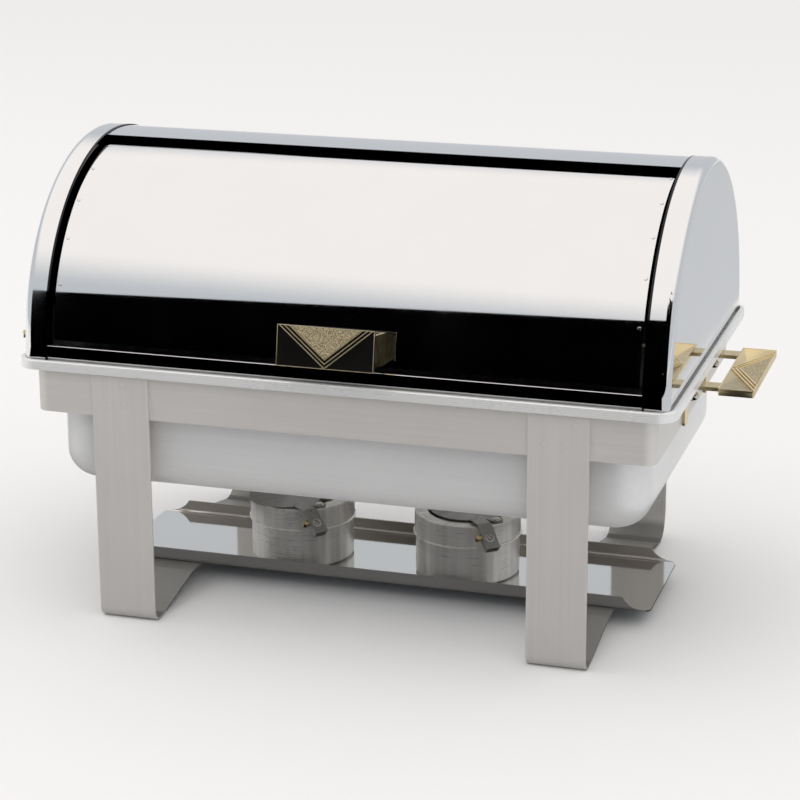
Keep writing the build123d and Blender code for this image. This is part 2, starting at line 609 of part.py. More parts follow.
def handle_bolts(side):
    """Two round-head bolts from inside the collar."""
    inner = COLLAR_LENGTH / 2 - COLLAR_WALL
    end = COLLAR_LENGTH / 2 + TAB_GAUGE + BOLT_REACH
    shank = Rot(0, 90, 0) * Cylinder(BOLT_RADIUS, end - inner)
    head = Rot(0, 90, 0) * Cylinder(2 * BOLT_RADIUS, BOLT_HEAD)
    bolts = []
    for offset in (-BRACKET_OFFSET, BRACKET_OFFSET):
        placed_shank = Pos((inner + end) / 2, offset, BOLT_Z) * shank
        placed_head = Pos(inner - BOLT_HEAD / 2, offset, BOLT_Z) * head
        bolts.append(placed_shank + placed_head)
    pair = Compound(bolts)
    return pair if side > 0 else mirror(pair, Plane.YZ)


def acorn_nuts(side):
    """Two acorn nuts outside the bracket tabs."""
    face = COLLAR_LENGTH / 2 + TAB_GAUGE
    nuts = []
    for offset in (-BRACKET_OFFSET, BRACKET_OFFSET):
        hexagon = extrude(RegularPolygon(NUT_RADIUS, 6), NUT_HEIGHT)
        dome = scale(Sphere(NUT_DOME_RADIUS), by=(1, 1, NUT_DOME / NUT_DOME_RADIUS))
        dome = Pos(0, 0, NUT_HEIGHT) * dome
        nut = hexagon + (dome & Pos(0, 0, NUT_HEIGHT + 10) * Box(40, 40, 20))
        nut -= Cylinder(BOLT_RADIUS, 2 * (BOLT_REACH + NUT_BORE_GAP))
        nuts.append(Pos(face, offset, BOLT_Z) * Rot(0, 90, 0) * nut)
    pair = Compound(nuts)
    return pair if side > 0 else mirror(pair, Plane.YZ)


# ---- fuel holders ----------------------------------------------------------------------
def holder_cup(x):
    """Drawn cup of a fuel holder with a rounded bottom edge."""
    cup = Pos(0, 0, HOLDER_HEIGHT / 2) * Cylinder(HOLDER_RADIUS, HOLDER_HEIGHT)
    cup = fillet(cup.faces().sort_by(Axis.Z)[0].edges(), HOLDER_BOTTOM_RADIUS)
    hollow = Pos(0, 0, HOLDER_GAUGE + HOLDER_HEIGHT / 2) * Cylinder(HOLDER_INNER, HOLDER_HEIGHT)
    hollow = fillet(hollow.faces().sort_by(Axis.Z)[0].edges(), HOLDER_BOTTOM_RADIUS - HOLDER_GAUGE)
    return Pos(x, HOLDER_Y, SHELF_TOP) * (cup - hollow)


def in_holder(shape, x, turn):
    """Put a piece modelled about the origin into a holder that stands at x, turned."""
    return Pos(x, HOLDER_Y, 0) * Rot(0, 0, turn) * shape


def holder_sleeve(x, turn):
    """Top sleeve with a beaded lower edge and a flat top round the vent."""
    low = SHELF_TOP + SLEEVE_BEAD_Z
    top = SHELF_TOP + SLEEVE_TOP
    height = top - low
    sleeve = Pos(0, 0, low + height / 2) * Cylinder(SLEEVE_OUTER, height)
    sleeve = fillet(sleeve.faces().sort_by(Axis.Z)[-1].edges(), HOLDER_GAUGE)
    sleeve = sleeve + Pos(0, 0, low + BEAD_RADIUS) * Torus(SLEEVE_OUTER, BEAD_RADIUS)
    hollow_height = height - HOLDER_GAUGE
    hollow = Cylinder(SLEEVE_INNER, 2 * hollow_height)
    sleeve -= Pos(0, 0, top - HOLDER_GAUGE - hollow_height) * hollow
    sleeve -= Pos(0, 0, top) * Cylinder(VENT_RADIUS, 4 * HOLDER_GAUGE)
    px, py = lid_pivot()
    sleeve -= Pos(px, py, top) * Cylinder(RIVET_RADIUS - PIVOT_FIT, 4 * HOLDER_GAUGE)
    return in_holder(sleeve, x, turn)


def fuel_can(x):
    """Can of chafing fuel standing in the cup, with a raised rim round its top."""
    floor = SHELF_TOP + HOLDER_GAUGE
    can = Pos(0, 0, FUEL_HEIGHT / 2) * Cylinder(FUEL_RADIUS, FUEL_HEIGHT)
    can = fillet(can.faces().sort_by(Axis.Z)[-1].edges(), 1.0)
    can -= Pos(0, 0, FUEL_HEIGHT) * Cylinder(FUEL_RADIUS - FUEL_RIM, FUEL_RIM)
    return Pos(x, HOLDER_Y, floor) * can


def round_axis(radius, angle):
    """X and Y of a point round a holder's axis."""
    return (radius * cos(radians(angle)), radius * sin(radians(angle)))


def lid_pivot():
    """Middle of a lid's pivot, in plan, from its holder's axis."""
    return round_axis(LID_PIVOT_RADIUS, LID_PIVOT_ANGLE)


def swung(shape, swing):
    """Turn a lid piece about its pivot, from the closed place."""
    px, py = lid_pivot()
    return Pos(px, py, 0) * Rot(0, 0, swing) * Pos(-px, -py, 0) * shape


def lid_disc(x, turn, swing):
    """Round lid over the vent, with a tongue out to its pivot."""
    px, py = lid_pivot()
    disc = Pos(0, 0, LID_Z + LID_GAUGE / 2) * Cylinder(LID_RADIUS, LID_GAUGE)
    tongue = Pos(px, py, LID_Z + LID_GAUGE / 2) * Cylinder(TONGUE_WIDTH / 2, LID_GAUGE)
    bridge_length = LID_PIVOT_RADIUS - LID_RADIUS + LID_BRIDGE_LAP
    mx, my = round_axis(LID_PIVOT_RADIUS - bridge_length / 2, LID_PIVOT_ANGLE)
    bridge = Pos(mx, my, LID_Z + LID_GAUGE / 2) * Rot(0, 0, LID_PIVOT_ANGLE)
    bridge *= Box(bridge_length, TONGUE_WIDTH, LID_GAUGE)
    lid = disc + tongue + bridge
    lid -= Pos(px, py, LID_Z) * Cylinder(RIVET_RADIUS, 4 * LID_GAUGE)
    return in_holder(swung(lid, swing), x, turn)


def lid_lever(x, turn, swing):
    """Strip lever on the lid: a flat out past the sleeve, a slope and a folded grip."""
    half = LEVER_GAUGE / 2
    bend = (LEVER_FLAT, half)
    slope = radians(LEVER_SLOPE)
    tip = (bend[0] + LEVER_DROP_LENGTH * cos(slope), half - LEVER_DROP_LENGTH * sin(slope))
    profile = strip_face([(0, half), bend, tip], [LEVER_BEND], LEVER_GAUGE)
    strip = extrude(Plane.XZ * profile, LEVER_WIDTH / 2, both=True)
    inner_edges = strip.edges().filter_by(Axis.Z).filter_by(lambda e: e.center().X < half)
    strip = fillet(inner_edges, LEVER_END_CORNER)
    loop_length = LEVER_DROP_LENGTH - LEVER_LOOP_START
    middle = LEVER_LOOP_START + loop_length / 2
    loop_frame = Pos(bend[0], 0, half) * Rot(0, LEVER_SLOPE, 0)
    outer = Box(loop_length, LEVER_WIDTH, LEVER_LOOP)
    outer = fillet(outer.edges().filter_by(Axis.X), LEVER_LOOP_CORNER)
    inner = Box(loop_length + 2, LEVER_WIDTH - 2 * LEVER_GAUGE, LEVER_LOOP - 2 * LEVER_GAUGE)
    loop = loop_frame * Pos(middle, 0, half - LEVER_LOOP / 2) * (outer - inner)
    sx, sy = round_axis(LEVER_START_RADIUS, LEVER_START_ANGLE)
    lever = Pos(sx, sy, LID_Z + LID_GAUGE) * Rot(0, 0, LEVER_YAW) * (strip + loop)
    return in_holder(swung(lever, swing), x, turn)


def lid_rivet(x, turn):
    """Rivet through the sleeve's top, a washer and the lid's tongue."""
    px, py = lid_pivot()
    low = LID_Z - LID_GAP - HOLDER_GAUGE
    high = LID_Z + LID_GAUGE
    washer = Pos(0, 0, LID_Z - LID_GAP / 2) * Cylinder(2 * RIVET_RADIUS, LID_GAP)
    shank = Pos(0, 0, (low + high) / 2) * Cylinder(RIVET_RADIUS - PIVOT_FIT, high - low)
    flatness = RIVET_HEAD / (2 * RIVET_RADIUS)
    head = Pos(0, 0, high) * scale(Sphere(2 * RIVET_RADIUS), by=(1, 1, flatness))
    head &= Pos(0, 0, high + 10) * Box(40, 40, 20)
    return in_holder(Pos(px, py, 0) * (washer + shank + head), x, turn)


# ---- all sub-parts ---------------------------------------------------------------------
def all_parts():
    """Every sub-part by name, about the middle of the stand."""
    parts = {
        "collar_band": collar_band(),
        "burner_shelf": burner_shelf(),
        "rim_frame": rim_frame(),
        "water_pan": water_pan(),
        "food_pan": food_pan(),
        "dome_rear_shell": dome_rear_shell(),
        "dome_front_rail": dome_front_rail(),
        "rolling_cover": rolling_cover(),
        "cover_grip_plate": grip_plate(),
        "cover_grip_bracket": grip_bracket(),
        "cover_grip_screws": grip_screws(),
    }
    for side, word in ((-1, "left"), (1, "right")):
        parts[f"leg_strap_{word}"] = leg_strap(side)
        parts[f"dome_end_cap_{word}"] = dome_end_cap(side)
        parts[f"cover_pivot_pin_{word}"] = pivot_pin(side)
        parts[f"cover_side_plate_{word}"] = cover_side_plate(side)
        parts[f"handle_plate_{word}"] = handle_plate(side)
        parts[f"handle_bracket_{word}_front"] = handle_bracket(side, -BRACKET_OFFSET)
        parts[f"handle_bracket_{word}_rear"] = handle_bracket(side, BRACKET_OFFSET)
        parts[f"handle_bolts_{word}"] = handle_bolts(side)
        parts[f"acorn_nuts_{word}"] = acorn_nuts(side)
    for x, turn, swing, word in zip(HOLDER_X, HOLDER_TURN, LID_OPEN, ("left", "right")):
        parts[f"fuel_holder_cup_{word}"] = holder_cup(x)
        parts[f"fuel_holder_sleeve_{word}"] = holder_sleeve(x, turn)
        parts[f"fuel_can_{word}"] = fuel_can(x)
        parts[f"burner_lid_{word}"] = lid_disc(x, turn, swing)
        parts[f"burner_lever_{word}"] = lid_lever(x, turn, swing)
        parts[f"burner_rivet_{word}"] = lid_rivet(x, turn)
    return parts


def main():
    """Build every sub-part, move it to the origin and write it to parts/NAME.step."""
    os.makedirs("parts", exist_ok=True)
    parts = all_parts()
    front = min(shape.bounding_box().min.Y for shape in parts.values())
    back = max(shape.bounding_box().max.Y for shape in parts.values())
    to_origin = Pos(0, -(front + back) / 2, 0)
    print(f"moved along Y by {-(front + back) / 2:.3f}")
    for name, shape in parts.items():
        placed = to_origin * shape
        placed.label = name
        export_step(placed, f"parts/{name}.step")


if __name__ == "__main__":
    main()
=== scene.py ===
"""Looks of a full-size roll-top chafing dish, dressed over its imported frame."""
import json
import logging
from collections.abc import Callable, Iterable
from dataclasses import dataclass, field
from enum import Enum
from math import cos, pi, radians, sin

import bpy
from mathutils import Matrix, Vector


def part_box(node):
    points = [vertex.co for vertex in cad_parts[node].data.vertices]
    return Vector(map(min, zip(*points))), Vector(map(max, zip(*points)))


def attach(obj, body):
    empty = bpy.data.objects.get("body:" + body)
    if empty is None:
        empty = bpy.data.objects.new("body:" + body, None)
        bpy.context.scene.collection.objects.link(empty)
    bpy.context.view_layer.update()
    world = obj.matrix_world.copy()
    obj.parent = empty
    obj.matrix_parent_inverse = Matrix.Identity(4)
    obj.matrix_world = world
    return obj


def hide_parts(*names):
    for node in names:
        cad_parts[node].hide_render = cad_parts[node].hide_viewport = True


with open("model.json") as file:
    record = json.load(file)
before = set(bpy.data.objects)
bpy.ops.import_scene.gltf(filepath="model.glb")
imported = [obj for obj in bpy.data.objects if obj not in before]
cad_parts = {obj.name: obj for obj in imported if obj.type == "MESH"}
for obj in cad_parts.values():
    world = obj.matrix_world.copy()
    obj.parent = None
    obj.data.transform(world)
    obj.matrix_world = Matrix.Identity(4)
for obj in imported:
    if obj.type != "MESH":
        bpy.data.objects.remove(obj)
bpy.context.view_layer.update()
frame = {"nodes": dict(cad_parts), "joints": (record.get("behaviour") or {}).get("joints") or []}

LOG = logging.getLogger("chafing_dish")
MM = 0.001


class Way(Enum):
    """Direction in which a sheet was brushed."""

    LENGTH = (1, 0, 0)
    DEPTH = (0, 1, 0)
    HEIGHT = (0, 0, 1)


class Side(Enum):
    """Which end of the dish a piece is on."""

    LEFT = -1
    RIGHT = 1

    @property
    def word(self) -> str:
        """The side's name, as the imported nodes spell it."""
        return self.name.lower()


# ---- shader sums -----------------------------------------------------------------------
class Value:
    """One socket of a material, with arithmetic that adds Math nodes."""

    def __init__(self, graph: "Graph", socket: bpy.types.NodeSocket) -> None:
        """Keep the socket and the graph that it belongs to."""
        self.graph = graph
        self.socket = socket

    def _sum(self, operation: str, *terms: "Value | float") -> "Value":
        """Add one Math node and return its result."""
        node = self.graph.node("ShaderNodeMath", {"operation": operation}, dict(enumerate(terms)))
        return Value(self.graph, node.outputs[0])

    def __add__(self, other: "Value | float") -> "Value":
        """Sum of two values."""
        return self._sum("ADD", self, other)

    __radd__ = __add__

    def __sub__(self, other: "Value | float") -> "Value":
        """Difference of two values."""
        return self._sum("SUBTRACT", self, other)

    def __rsub__(self, other: "Value | float") -> "Value":
        """Difference with the value on the right."""
        return self._sum("SUBTRACT", other, self)

    def __mul__(self, other: "Value | float") -> "Value":
        """Product of two values."""
        return self._sum("MULTIPLY", self, other)

    __rmul__ = __mul__

    def __abs__(self) -> "Value":
        """Size of the value without its sign."""
        return self._sum("ABSOLUTE", self)

    def __pow__(self, power: float) -> "Value":
        """The value raised to a power."""
        return self._sum("POWER", self, power)

    def most(self, other: "Value | float") -> "Value":
        """The larger of two values."""
        return self._sum("MAXIMUM", self, other)

    def hypot(self, other: "Value") -> "Value":
        """Length of the two values taken as the sides of a right angle."""
        return (self * self + other * other) ** 0.5

    def between(self, low: float, high: float) -> "Value":
        """Smooth step from 0 at low to 1 at high."""
        ramp = self.graph.node(
            "ShaderNodeMapRange",
            {"interpolation_type": "SMOOTHSTEP"},
            {"Value": self, "From Min": low, "From Max": high},
        )
        return Value(self.graph, ramp.outputs[0])


Number = Value | float
Colour = tuple[float, float, float]


class Graph:
    """The node graph of one material."""

    def __init__(self, tree: bpy.types.NodeTree) -> None:
        """Start from an empty tree."""
        self.tree = tree
        tree.nodes.clear()

    def node(self, kind: str, settings: dict | None = None, sockets: dict | None = None) -> bpy.types.Node:
        """Add one node.

        Args:
            kind: the node's type.
            settings: its own settings, set before its sockets.
            sockets: a value or a link for each socket, by name or number.

        Returns:
            The new node.
        """
        made = self.tree.nodes.new(kind)
        for key, setting in (settings or {}).items():
            setattr(made, key, setting)
        for key, given in (sockets or {}).items():
            if isinstance(given, Value):
                given = given.socket
            if isinstance(given, bpy.types.NodeSocket):
                self.tree.links.new(given, made.inputs[key])
            else:
                made.inputs[key].default_value = given
        return made

    def place(
        self,
        stretch: Colour = (1, 1, 1),
        centre: Iterable[float] = (0, 0, 0),
    ) -> bpy.types.NodeSocket:
        """Place on the object, moved so that centre is 0, then stretched.

        Args:
            stretch: factor along each axis.
            centre: the point that becomes 0.

        Returns:
            The place, as a vector socket.
        """
        where = self.node("ShaderNodeTexCoord").outputs["Object"]
        moved = self.node(
            "ShaderNodeVectorMath", {"operation": "SUBTRACT"}, {0: where, 1: tuple(centre)}
        ).outputs[0]
        return self.node(
            "ShaderNodeVectorMath", {"operation": "MULTIPLY"}, {0: moved, 1: stretch}
        ).outputs[0]

    def axes(self, centre: Iterable[float] = (0, 0, 0)) -> list[Value]:
        """The three parts of the place, measured from centre."""
        parts = self.node("ShaderNodeSeparateXYZ", {}, {0: self.place(centre=centre)})
        return [Value(self, output) for output in parts.outputs]

    def vector(self, x: Number, y: Number, z: Number) -> bpy.types.NodeSocket:
        """A vector made of three values."""
        return self.node("ShaderNodeCombineXYZ", {}, {0: x, 1: y, 2: z}).outputs[0]

    def noise(
        self, where: bpy.types.NodeSocket, scale: float, detail: float = 2.0, rough: float = 0.5
    ) -> Value:
        """Soft noise from 0 to 1.

        Args:
            where: the place it is read at.
            scale: how many waves there are in a unit.
            detail: how many finer layers are added.
            rough: how strong the finer layers are.

        Returns:
            The noise.
        """
        sockets = {"Vector": where, "Scale": scale, "Detail": detail, "Roughness": rough}
        return Value(self, self.node("ShaderNodeTexNoise", {}, sockets).outputs[0])

    def grain(self, way: Way, across: float, along: float, shift: float = 0.0) -> Value:
        """Long streaks that run one way.

        Args:
            way: the way they run.
            across: streaks in a metre.
            along: how many times a streak changes in a metre.
            shift: moves the pattern, so that two layers differ.

        Returns:
            The streaks, from 0 to 1.
        """
        stretch = tuple(along if part else across for part in way.value)
        return self.noise(self.place(stretch, (shift, shift, shift)), 1.0, 1.0)

    def specks(self, where: bpy.types.NodeSocket, scale: float) -> Value:
        """Distance from the nearest of many scattered points, from 0 to about 1."""
        sockets = {"Vector": where, "Scale": scale}
        return Value(self, self.node("ShaderNodeTexVoronoi", {}, sockets).outputs[0])

    def mix(self, low: Colour, high: Colour, factor: Number) -> bpy.types.NodeSocket:
        """Colour between two colours."""
        mixer = self.node(
            "ShaderNodeMix",
            {"data_type": "RGBA", "clamp_factor": True},
            {0: factor, 6: (*low, 1.0), 7: (*high, 1.0)},
        )
        return mixer.outputs[2]

    def blend(self, under: bpy.types.NodeSocket, over: Colour, factor: Number) -> bpy.types.NodeSocket:
        """A colour socket with another colour laid over it.

        Args:
            under: the colour below.
            over: the colour on top.
            factor: how much of the top shows, from 0 to 1.

        Returns:
            The laid colour.
        """
        sockets = {0: factor, 6: under, 7: (*over, 1.0)}
        return self.node("ShaderNodeMix", {"data_type": "RGBA", "clamp_factor": True}, sockets).outputs[2]

    def bump(self, height: Value, depth: float, strength: float = 1.0) -> bpy.types.NodeSocket:
        """Surface normal bent by a height.

        Args:
            height: height from 0 to 1.
            depth: what a height of 1 is, in metres.
            strength: how much of it is used.

        Returns:
            The normal, as a socket.
        """
        sockets = {"Strength": strength, "Distance": depth, "Height": height}
        return self.node("ShaderNodeBump", {}, sockets).outputs[0]


@dataclass
class Skin:
    """What a finish feeds to the surface shader."""

    colour: bpy.types.NodeSocket
    roughness: Number
    normal: bpy.types.NodeSocket
    metallic: Number = 1.0
    constants: dict[str, float] = field(default_factory=dict)


# ---- finishes --------------------------------------------------------------------------
@dataclass(frozen=True)
class Finish:
    """A surface finish, made into a material once."""

    name: str

    def skin(self, graph: Graph) -> Skin:
        """Nodes of the finish. Each finish has its own."""
        raise NotImplementedError

    def material(self) -> bpy.types.Material:
        """The finish's material.

        Returns:
            The material, made on the first call.
        """
        found = bpy.data.materials.get(self.name)
        if found is not None and found.get("dish_finish"):
            return found
        material = bpy.data.materials.new(self.name)
        material["dish_finish"] = True
        material.use_nodes = True
        graph = Graph(material.node_tree)
        skin = self.skin(graph)
        sockets = {
            "Base Color": skin.colour,
            "Roughness": skin.roughness,
            "Metallic": skin.metallic,
            "Normal": skin.normal,
            **skin.constants,
        }
        surface = graph.node("ShaderNodeBsdfPrincipled", {}, sockets)
        graph.node("ShaderNodeOutputMaterial", {}, {"Surface": surface.outputs[0]})
        return material


@dataclass(frozen=True)
class SatinSteel(Finish):
    """Brushed stainless sheet with fine streaks and soft clouds; when asked, painted highlights along its
    side edges and painted shade between its front and rear faces.
    """

    way: Way = Way.LENGTH
    light: Colour = (0.80, 0.775, 0.745)
    dark: Colour = (0.62, 0.60, 0.575)
    roughness: float = 0.44
    metallic: float = 0.35
    edges: tuple[float, float] | None = None
    grain_depth: float = 0.00006
    # inside and shade: the span from front face to rear face inside which shade is painted, and the colour of
    # that painted shade
    inside: tuple[float, float] | None = None
    shade: Colour = (0.20, 0.195, 0.185)

    def skin(self, graph: Graph) -> Skin:
        """Nodes of the brushed sheet."""
        fine = graph.grain(self.way, 1500.0, 14.0)
        broad = graph.grain(self.way, 240.0, 4.0, 3.1)
        cloud = graph.noise(graph.place(), 9.0, 3.0)
        smudge = graph.noise(graph.place(centre=(4.0, 1.0, 2.0)), 26.0, 4.0, 0.6)
        tone = 0.2 + fine * 0.28 + broad * 0.34 + cloud * 0.4
        rough = self.roughness - 0.12 + fine * 0.1 + smudge * 0.14
        # painted highlight: a lighter, smoother band along each side edge of the sheet
        if self.edges is not None:
            low, high = self.edges
            middle, half = (low + high) / 2, (high - low) / 2
            edge_highlight = abs(graph.axes((middle, 0, 0))[0]).between(half - 1.6 * MM, half - 0.3 * MM)
            tone = tone + edge_highlight * 0.6
            rough = rough - edge_highlight * 0.12
        height = fine * 0.65 + broad * 0.35
        colour = graph.mix(self.dark, self.light, tone)
        # painted shade: faces lying between the front and rear faces, such as a strap foot's inner slopes,
        # are blended towards the shade colour
        if self.inside is not None:
            front, rear = self.inside
            depth = graph.axes()[1]
            inner = (depth - front).between(2.0 * MM, 9.0 * MM) * (rear - depth).between(2.0 * MM, 9.0 * MM)
            colour = graph.blend(colour, self.shade, inner * (0.65 + cloud * 0.3))
        return Skin(
            colour,
            rough,
            graph.bump(height, self.grain_depth, 0.55),
            self.metallic,
        )


@dataclass(frozen=True)
class MirrorSteel(Finish):
    """Polished stainless sheet with a slight wave, wiping haze and hair scratches."""

    way: Way = Way.LENGTH
    tint: Colour = (0.86, 0.865, 0.87)
    roughness: float = 0.035
    wave: float = 0.00012
    haze: float = 0.05

    def skin(self, graph: Graph) -> Skin:
        """Nodes of the polished sheet."""
        swell = graph.noise(graph.place(), 5.0, 1.0)
        wiped = graph.noise(graph.place(centre=(2.0, 5.0, 1.0)), 14.0, 4.0, 0.6)
        hair = graph.grain(self.way, 2200.0, 22.0).between(0.62, 0.8)
        rough = self.roughness + wiped.between(0.45, 0.8) * self.haze + hair * 0.03
        shade = tuple(part * 0.93 for part in self.tint)
        return Skin(
            graph.mix(shade, self.tint, wiped * 0.7 + hair * 0.3),
            rough,
            graph.bump(swell, self.wave, 1.0),
        )


@dataclass(frozen=True)
class CapSteel(MirrorSteel):
    """Polished end cap with painted black shade on its inner step, where the cover's end runs along it."""

    way: Way = Way.DEPTH
    step: tuple[float, float] = (0.0, 0.0)
    # colour of the painted shade on the inner step
    shadow: Colour = (0.03, 0.03, 0.032)

    def skin(self, graph: Graph) -> Skin:
        """Nodes of the polished cap with the painted black shade on its step."""
        skin = super().skin(graph)
        low, high = self.step
        across = abs(graph.axes()[0])
        # painted shade: the inner step is coloured near black for the shadow and dark reflection in the gap
        # beside the cover's end; the noise only makes the edge of that shade ragged.
        ragged_shadow_edge = graph.noise(graph.place(), 30.0, 2.0) * 0.5 * MM
        film_and_painted_shadow = (across + ragged_shadow_edge - low).between(0.0, 0.4 * MM) * (high - across).between(0.0, 0.3 * MM)
        return Skin(graph.blend(skin.colour, self.shadow, film_and_painted_shadow), skin.roughness, skin.normal)


@dataclass(frozen=True)
class ShelfSteel(MirrorSteel):
    """Polished burner shelf: bright deck; front and rear flanges rougher, less metallic and coloured with
    painted shade, dark grey in front and brownish grey at the rear.
    """

    way: Way = Way.LENGTH
    tint: Colour = (0.80, 0.79, 0.77)
    roughness: float = 0.07
    front: float = 0.0
    rear: float = 0.0
    deck: float = 0.0
    # colours of the painted shade on the front flange and on the rear flange
    lip_painted_shade: Colour = (0.30, 0.29, 0.275)
    rear_painted_shade: Colour = (0.46, 0.42, 0.38)

    def skin(self, graph: Graph) -> Skin:
        """Nodes of the polished deck with painted shade on its flanges."""
        skin = super().skin(graph)
        _, y, z = graph.axes()
        cloud = graph.noise(graph.place(), 40.0, 3.0, 0.6)
        # painted shade: the front flange face and the rear flange above the deck are blended towards the
        # painted shade colours, and made rougher and less metallic
        rise = (z - self.deck).between(0.6 * MM, 2.5 * MM)
        lip = (self.front + 1.9 * MM - y).between(0.0, 0.5 * MM)
        back = (y - self.rear + 4.5 * MM).between(0.0, 2.5 * MM) * rise
        colour = skin.colour
        for mask, tone in ((back, self.rear_painted_shade), (lip, self.lip_painted_shade)):
            colour = graph.blend(colour, tone, mask)
        rough = skin.roughness + back.most(lip) * (0.3 + cloud * 0.1)
        return Skin(colour, rough, skin.normal, 1.0 - lip * 0.55 - back * 0.3)


@dataclass(frozen=True)
class SpunSteel(Finish):
    """Spun stainless with rings round an upright axis, some heat tint and painted highlight streaks round the
    axis.
    """

    centre: tuple[float, float] = (0.0, 0.0)
    light: Colour = (1.0, 0.975, 0.93)
    dark: Colour = (0.62, 0.60, 0.565)
    roughness: float = 0.26

    def skin(self, graph: Graph) -> Skin:
        """Nodes of the spun sheet."""
        x, y, z = graph.axes((*self.centre, 0.0))
        radius = x.hypot(y)
        rings = graph.noise(graph.vector(radius, z, 0.0), 900.0, 2.0, 0.6)
        round_about = graph.node("ShaderNodeMath", {"operation": "ARCTAN2"}, {0: y, 1: x}).outputs[0]
        # painted highlight: light and dark streaks that change round the axis stand in for the vertical
        # highlight streaks of the spun metal
        painted_highlight_streaks = graph.noise(graph.vector(Value(graph, round_about) * 4.0, z * 3.0, 7.0), 1.6, 2.0)
        wide = graph.noise(graph.vector(radius, z, 3.0), 190.0, 1.0)
        stain = graph.noise(graph.place(), 34.0, 4.0, 0.6)
        tone = rings * 0.35 + wide * 0.2 + stain * 0.2 + (painted_highlight_streaks - 0.5) * 1.5
        rough = self.roughness - 0.1 + rings * 0.12 + stain * 0.16
        return Skin(
            graph.mix(self.dark, self.light, tone),
            rough,
            graph.bump(rings * 0.4 + wide * 0.6, 0.00001, 0.3),
            0.62,
            constants={"Anisotropic": 0.6},
        )


@dataclass(frozen=True)
class Brass(Finish):
    """Polished gold-toned brass with fine grain and darker handling marks."""

    way: Way = Way.LENGTH
    light: Colour = (0.86, 0.72, 0.44)
    dark: Colour = (0.66, 0.52, 0.27)
    roughness: float = 0.2

    def skin(self, graph: Graph) -> Skin:
        """Nodes of the brass."""
        fine = graph.grain(self.way, 2600.0, 60.0)
        worn = graph.noise(graph.place(), 60.0, 4.0, 0.6)
        tone = fine * 0.4 + worn * 0.7
        return Skin(
            graph.mix(self.dark, self.light, tone),
            self.roughness + fine * 0.08 + worn * 0.08,
            graph.bump(fine * 0.6 + worn * 0.4, 0.00004, 0.5),
        )


@dataclass(frozen=True)
class DarkBrass(Finish):
    """Blackened field of the grip, with bright metal left along its outer border."""

    light: Colour = (0.012, 0.011, 0.010)
    dark: Colour = (0.004, 0.004, 0.004)

    def skin(self, graph: Graph) -> Skin:
        """Nodes of the blackened field."""
        film_and_painted_shadow = graph.noise(graph.place(), 90.0, 3.0, 0.6)
        fine = graph.grain(Way.LENGTH, 2600.0, 60.0)
        return Skin(
            graph.mix(self.dark, self.light, film_and_painted_shadow * 0.7 + fine * 0.4),
            0.12 + film_and_painted_shadow * 0.1,
            graph.bump(fine, 0.00002, 0.4),
            0.2,
        )


@dataclass(frozen=True)
class SandedBrass(Finish):
    """Brass with a coarse sand-blasted grain, darker in its pits."""

    light: Colour = (0.78, 0.66, 0.42)
    dark: Colour = (0.10, 0.07, 0.03)
    grain: float = 1050.0

    def skin(self, graph: Graph) -> Skin:
        """Nodes of the sanded brass."""
        pits = graph.specks(graph.place(), self.grain)
        grit = graph.noise(graph.place(centre=(1.0, 2.0, 3.0)), self.grain * 0.7, 3.0, 0.7)
        height = pits * 0.7 + grit * 0.6
        return Skin(
            graph.mix(self.dark, self.light, height.between(0.35, 0.85)),
            0.4 + grit * 0.2,
            graph.bump(height, 0.0006, 0.9),
            0.6,
        )


@dataclass(frozen=True)
class PlatedFastener(Finish):
    """Bright plated screw or nut with tool marks and patchy darker, rougher areas."""

    light: Colour = (0.84, 0.80, 0.70)
    dark: Colour = (0.50, 0.46, 0.38)
    roughness: float = 0.16

    def skin(self, graph: Graph) -> Skin:
        """Nodes of the plated metal."""
        film_and_painted_shadow = graph.noise(graph.place(), 420.0, 3.0, 0.6)
        marks = graph.noise(graph.place((900.0, 900.0, 90.0)), 1.0, 2.0)
        return Skin(
            graph.mix(self.dark, self.light, film_and_painted_shadow.between(0.3, 0.62)),
            self.roughness + film_and_painted_shadow * 0.14,
            graph.bump(marks, 0.00005, 0.6),
        )


@dataclass(frozen=True)
class LacqueredTin(Finish):
    """Pale lacquered tin with speckle and a bare, worn rim."""

    rim: float = 0.0
    paint: Colour = (0.72, 0.69, 0.62)
    bare: Colour = (0.42, 0.41, 0.39)

    def skin(self, graph: Graph) -> Skin:
        """Nodes of the tin."""
        height = graph.axes()[2]
        scuffs = graph.noise(graph.place(), 240.0, 4.0, 0.7)
        worn = (height + scuffs * 0.002).between(self.rim - 0.0012, self.rim - 0.0002)
        speckle = graph.noise(graph.place(), 900.0, 2.0)
        return Skin(
            graph.mix(self.paint, self.bare, worn.most(scuffs.between(0.66, 0.72))),
            0.38 + speckle * 0.16,
            graph.bump(speckle * 0.5 + scuffs * 0.5, 0.00006, 0.5),
            worn,
        )


# ---- the bench: primitives and edit-mode tools -----------------------------------------
def put_down() -> None:
    """Deselect everything."""
    if bpy.context.object is not None and bpy.context.object.mode != "OBJECT":
        bpy.ops.object.mode_set(mode="OBJECT")
    bpy.ops.object.select_all(action="DESELECT")


Test = Callable[[Vector, Vector], bool]


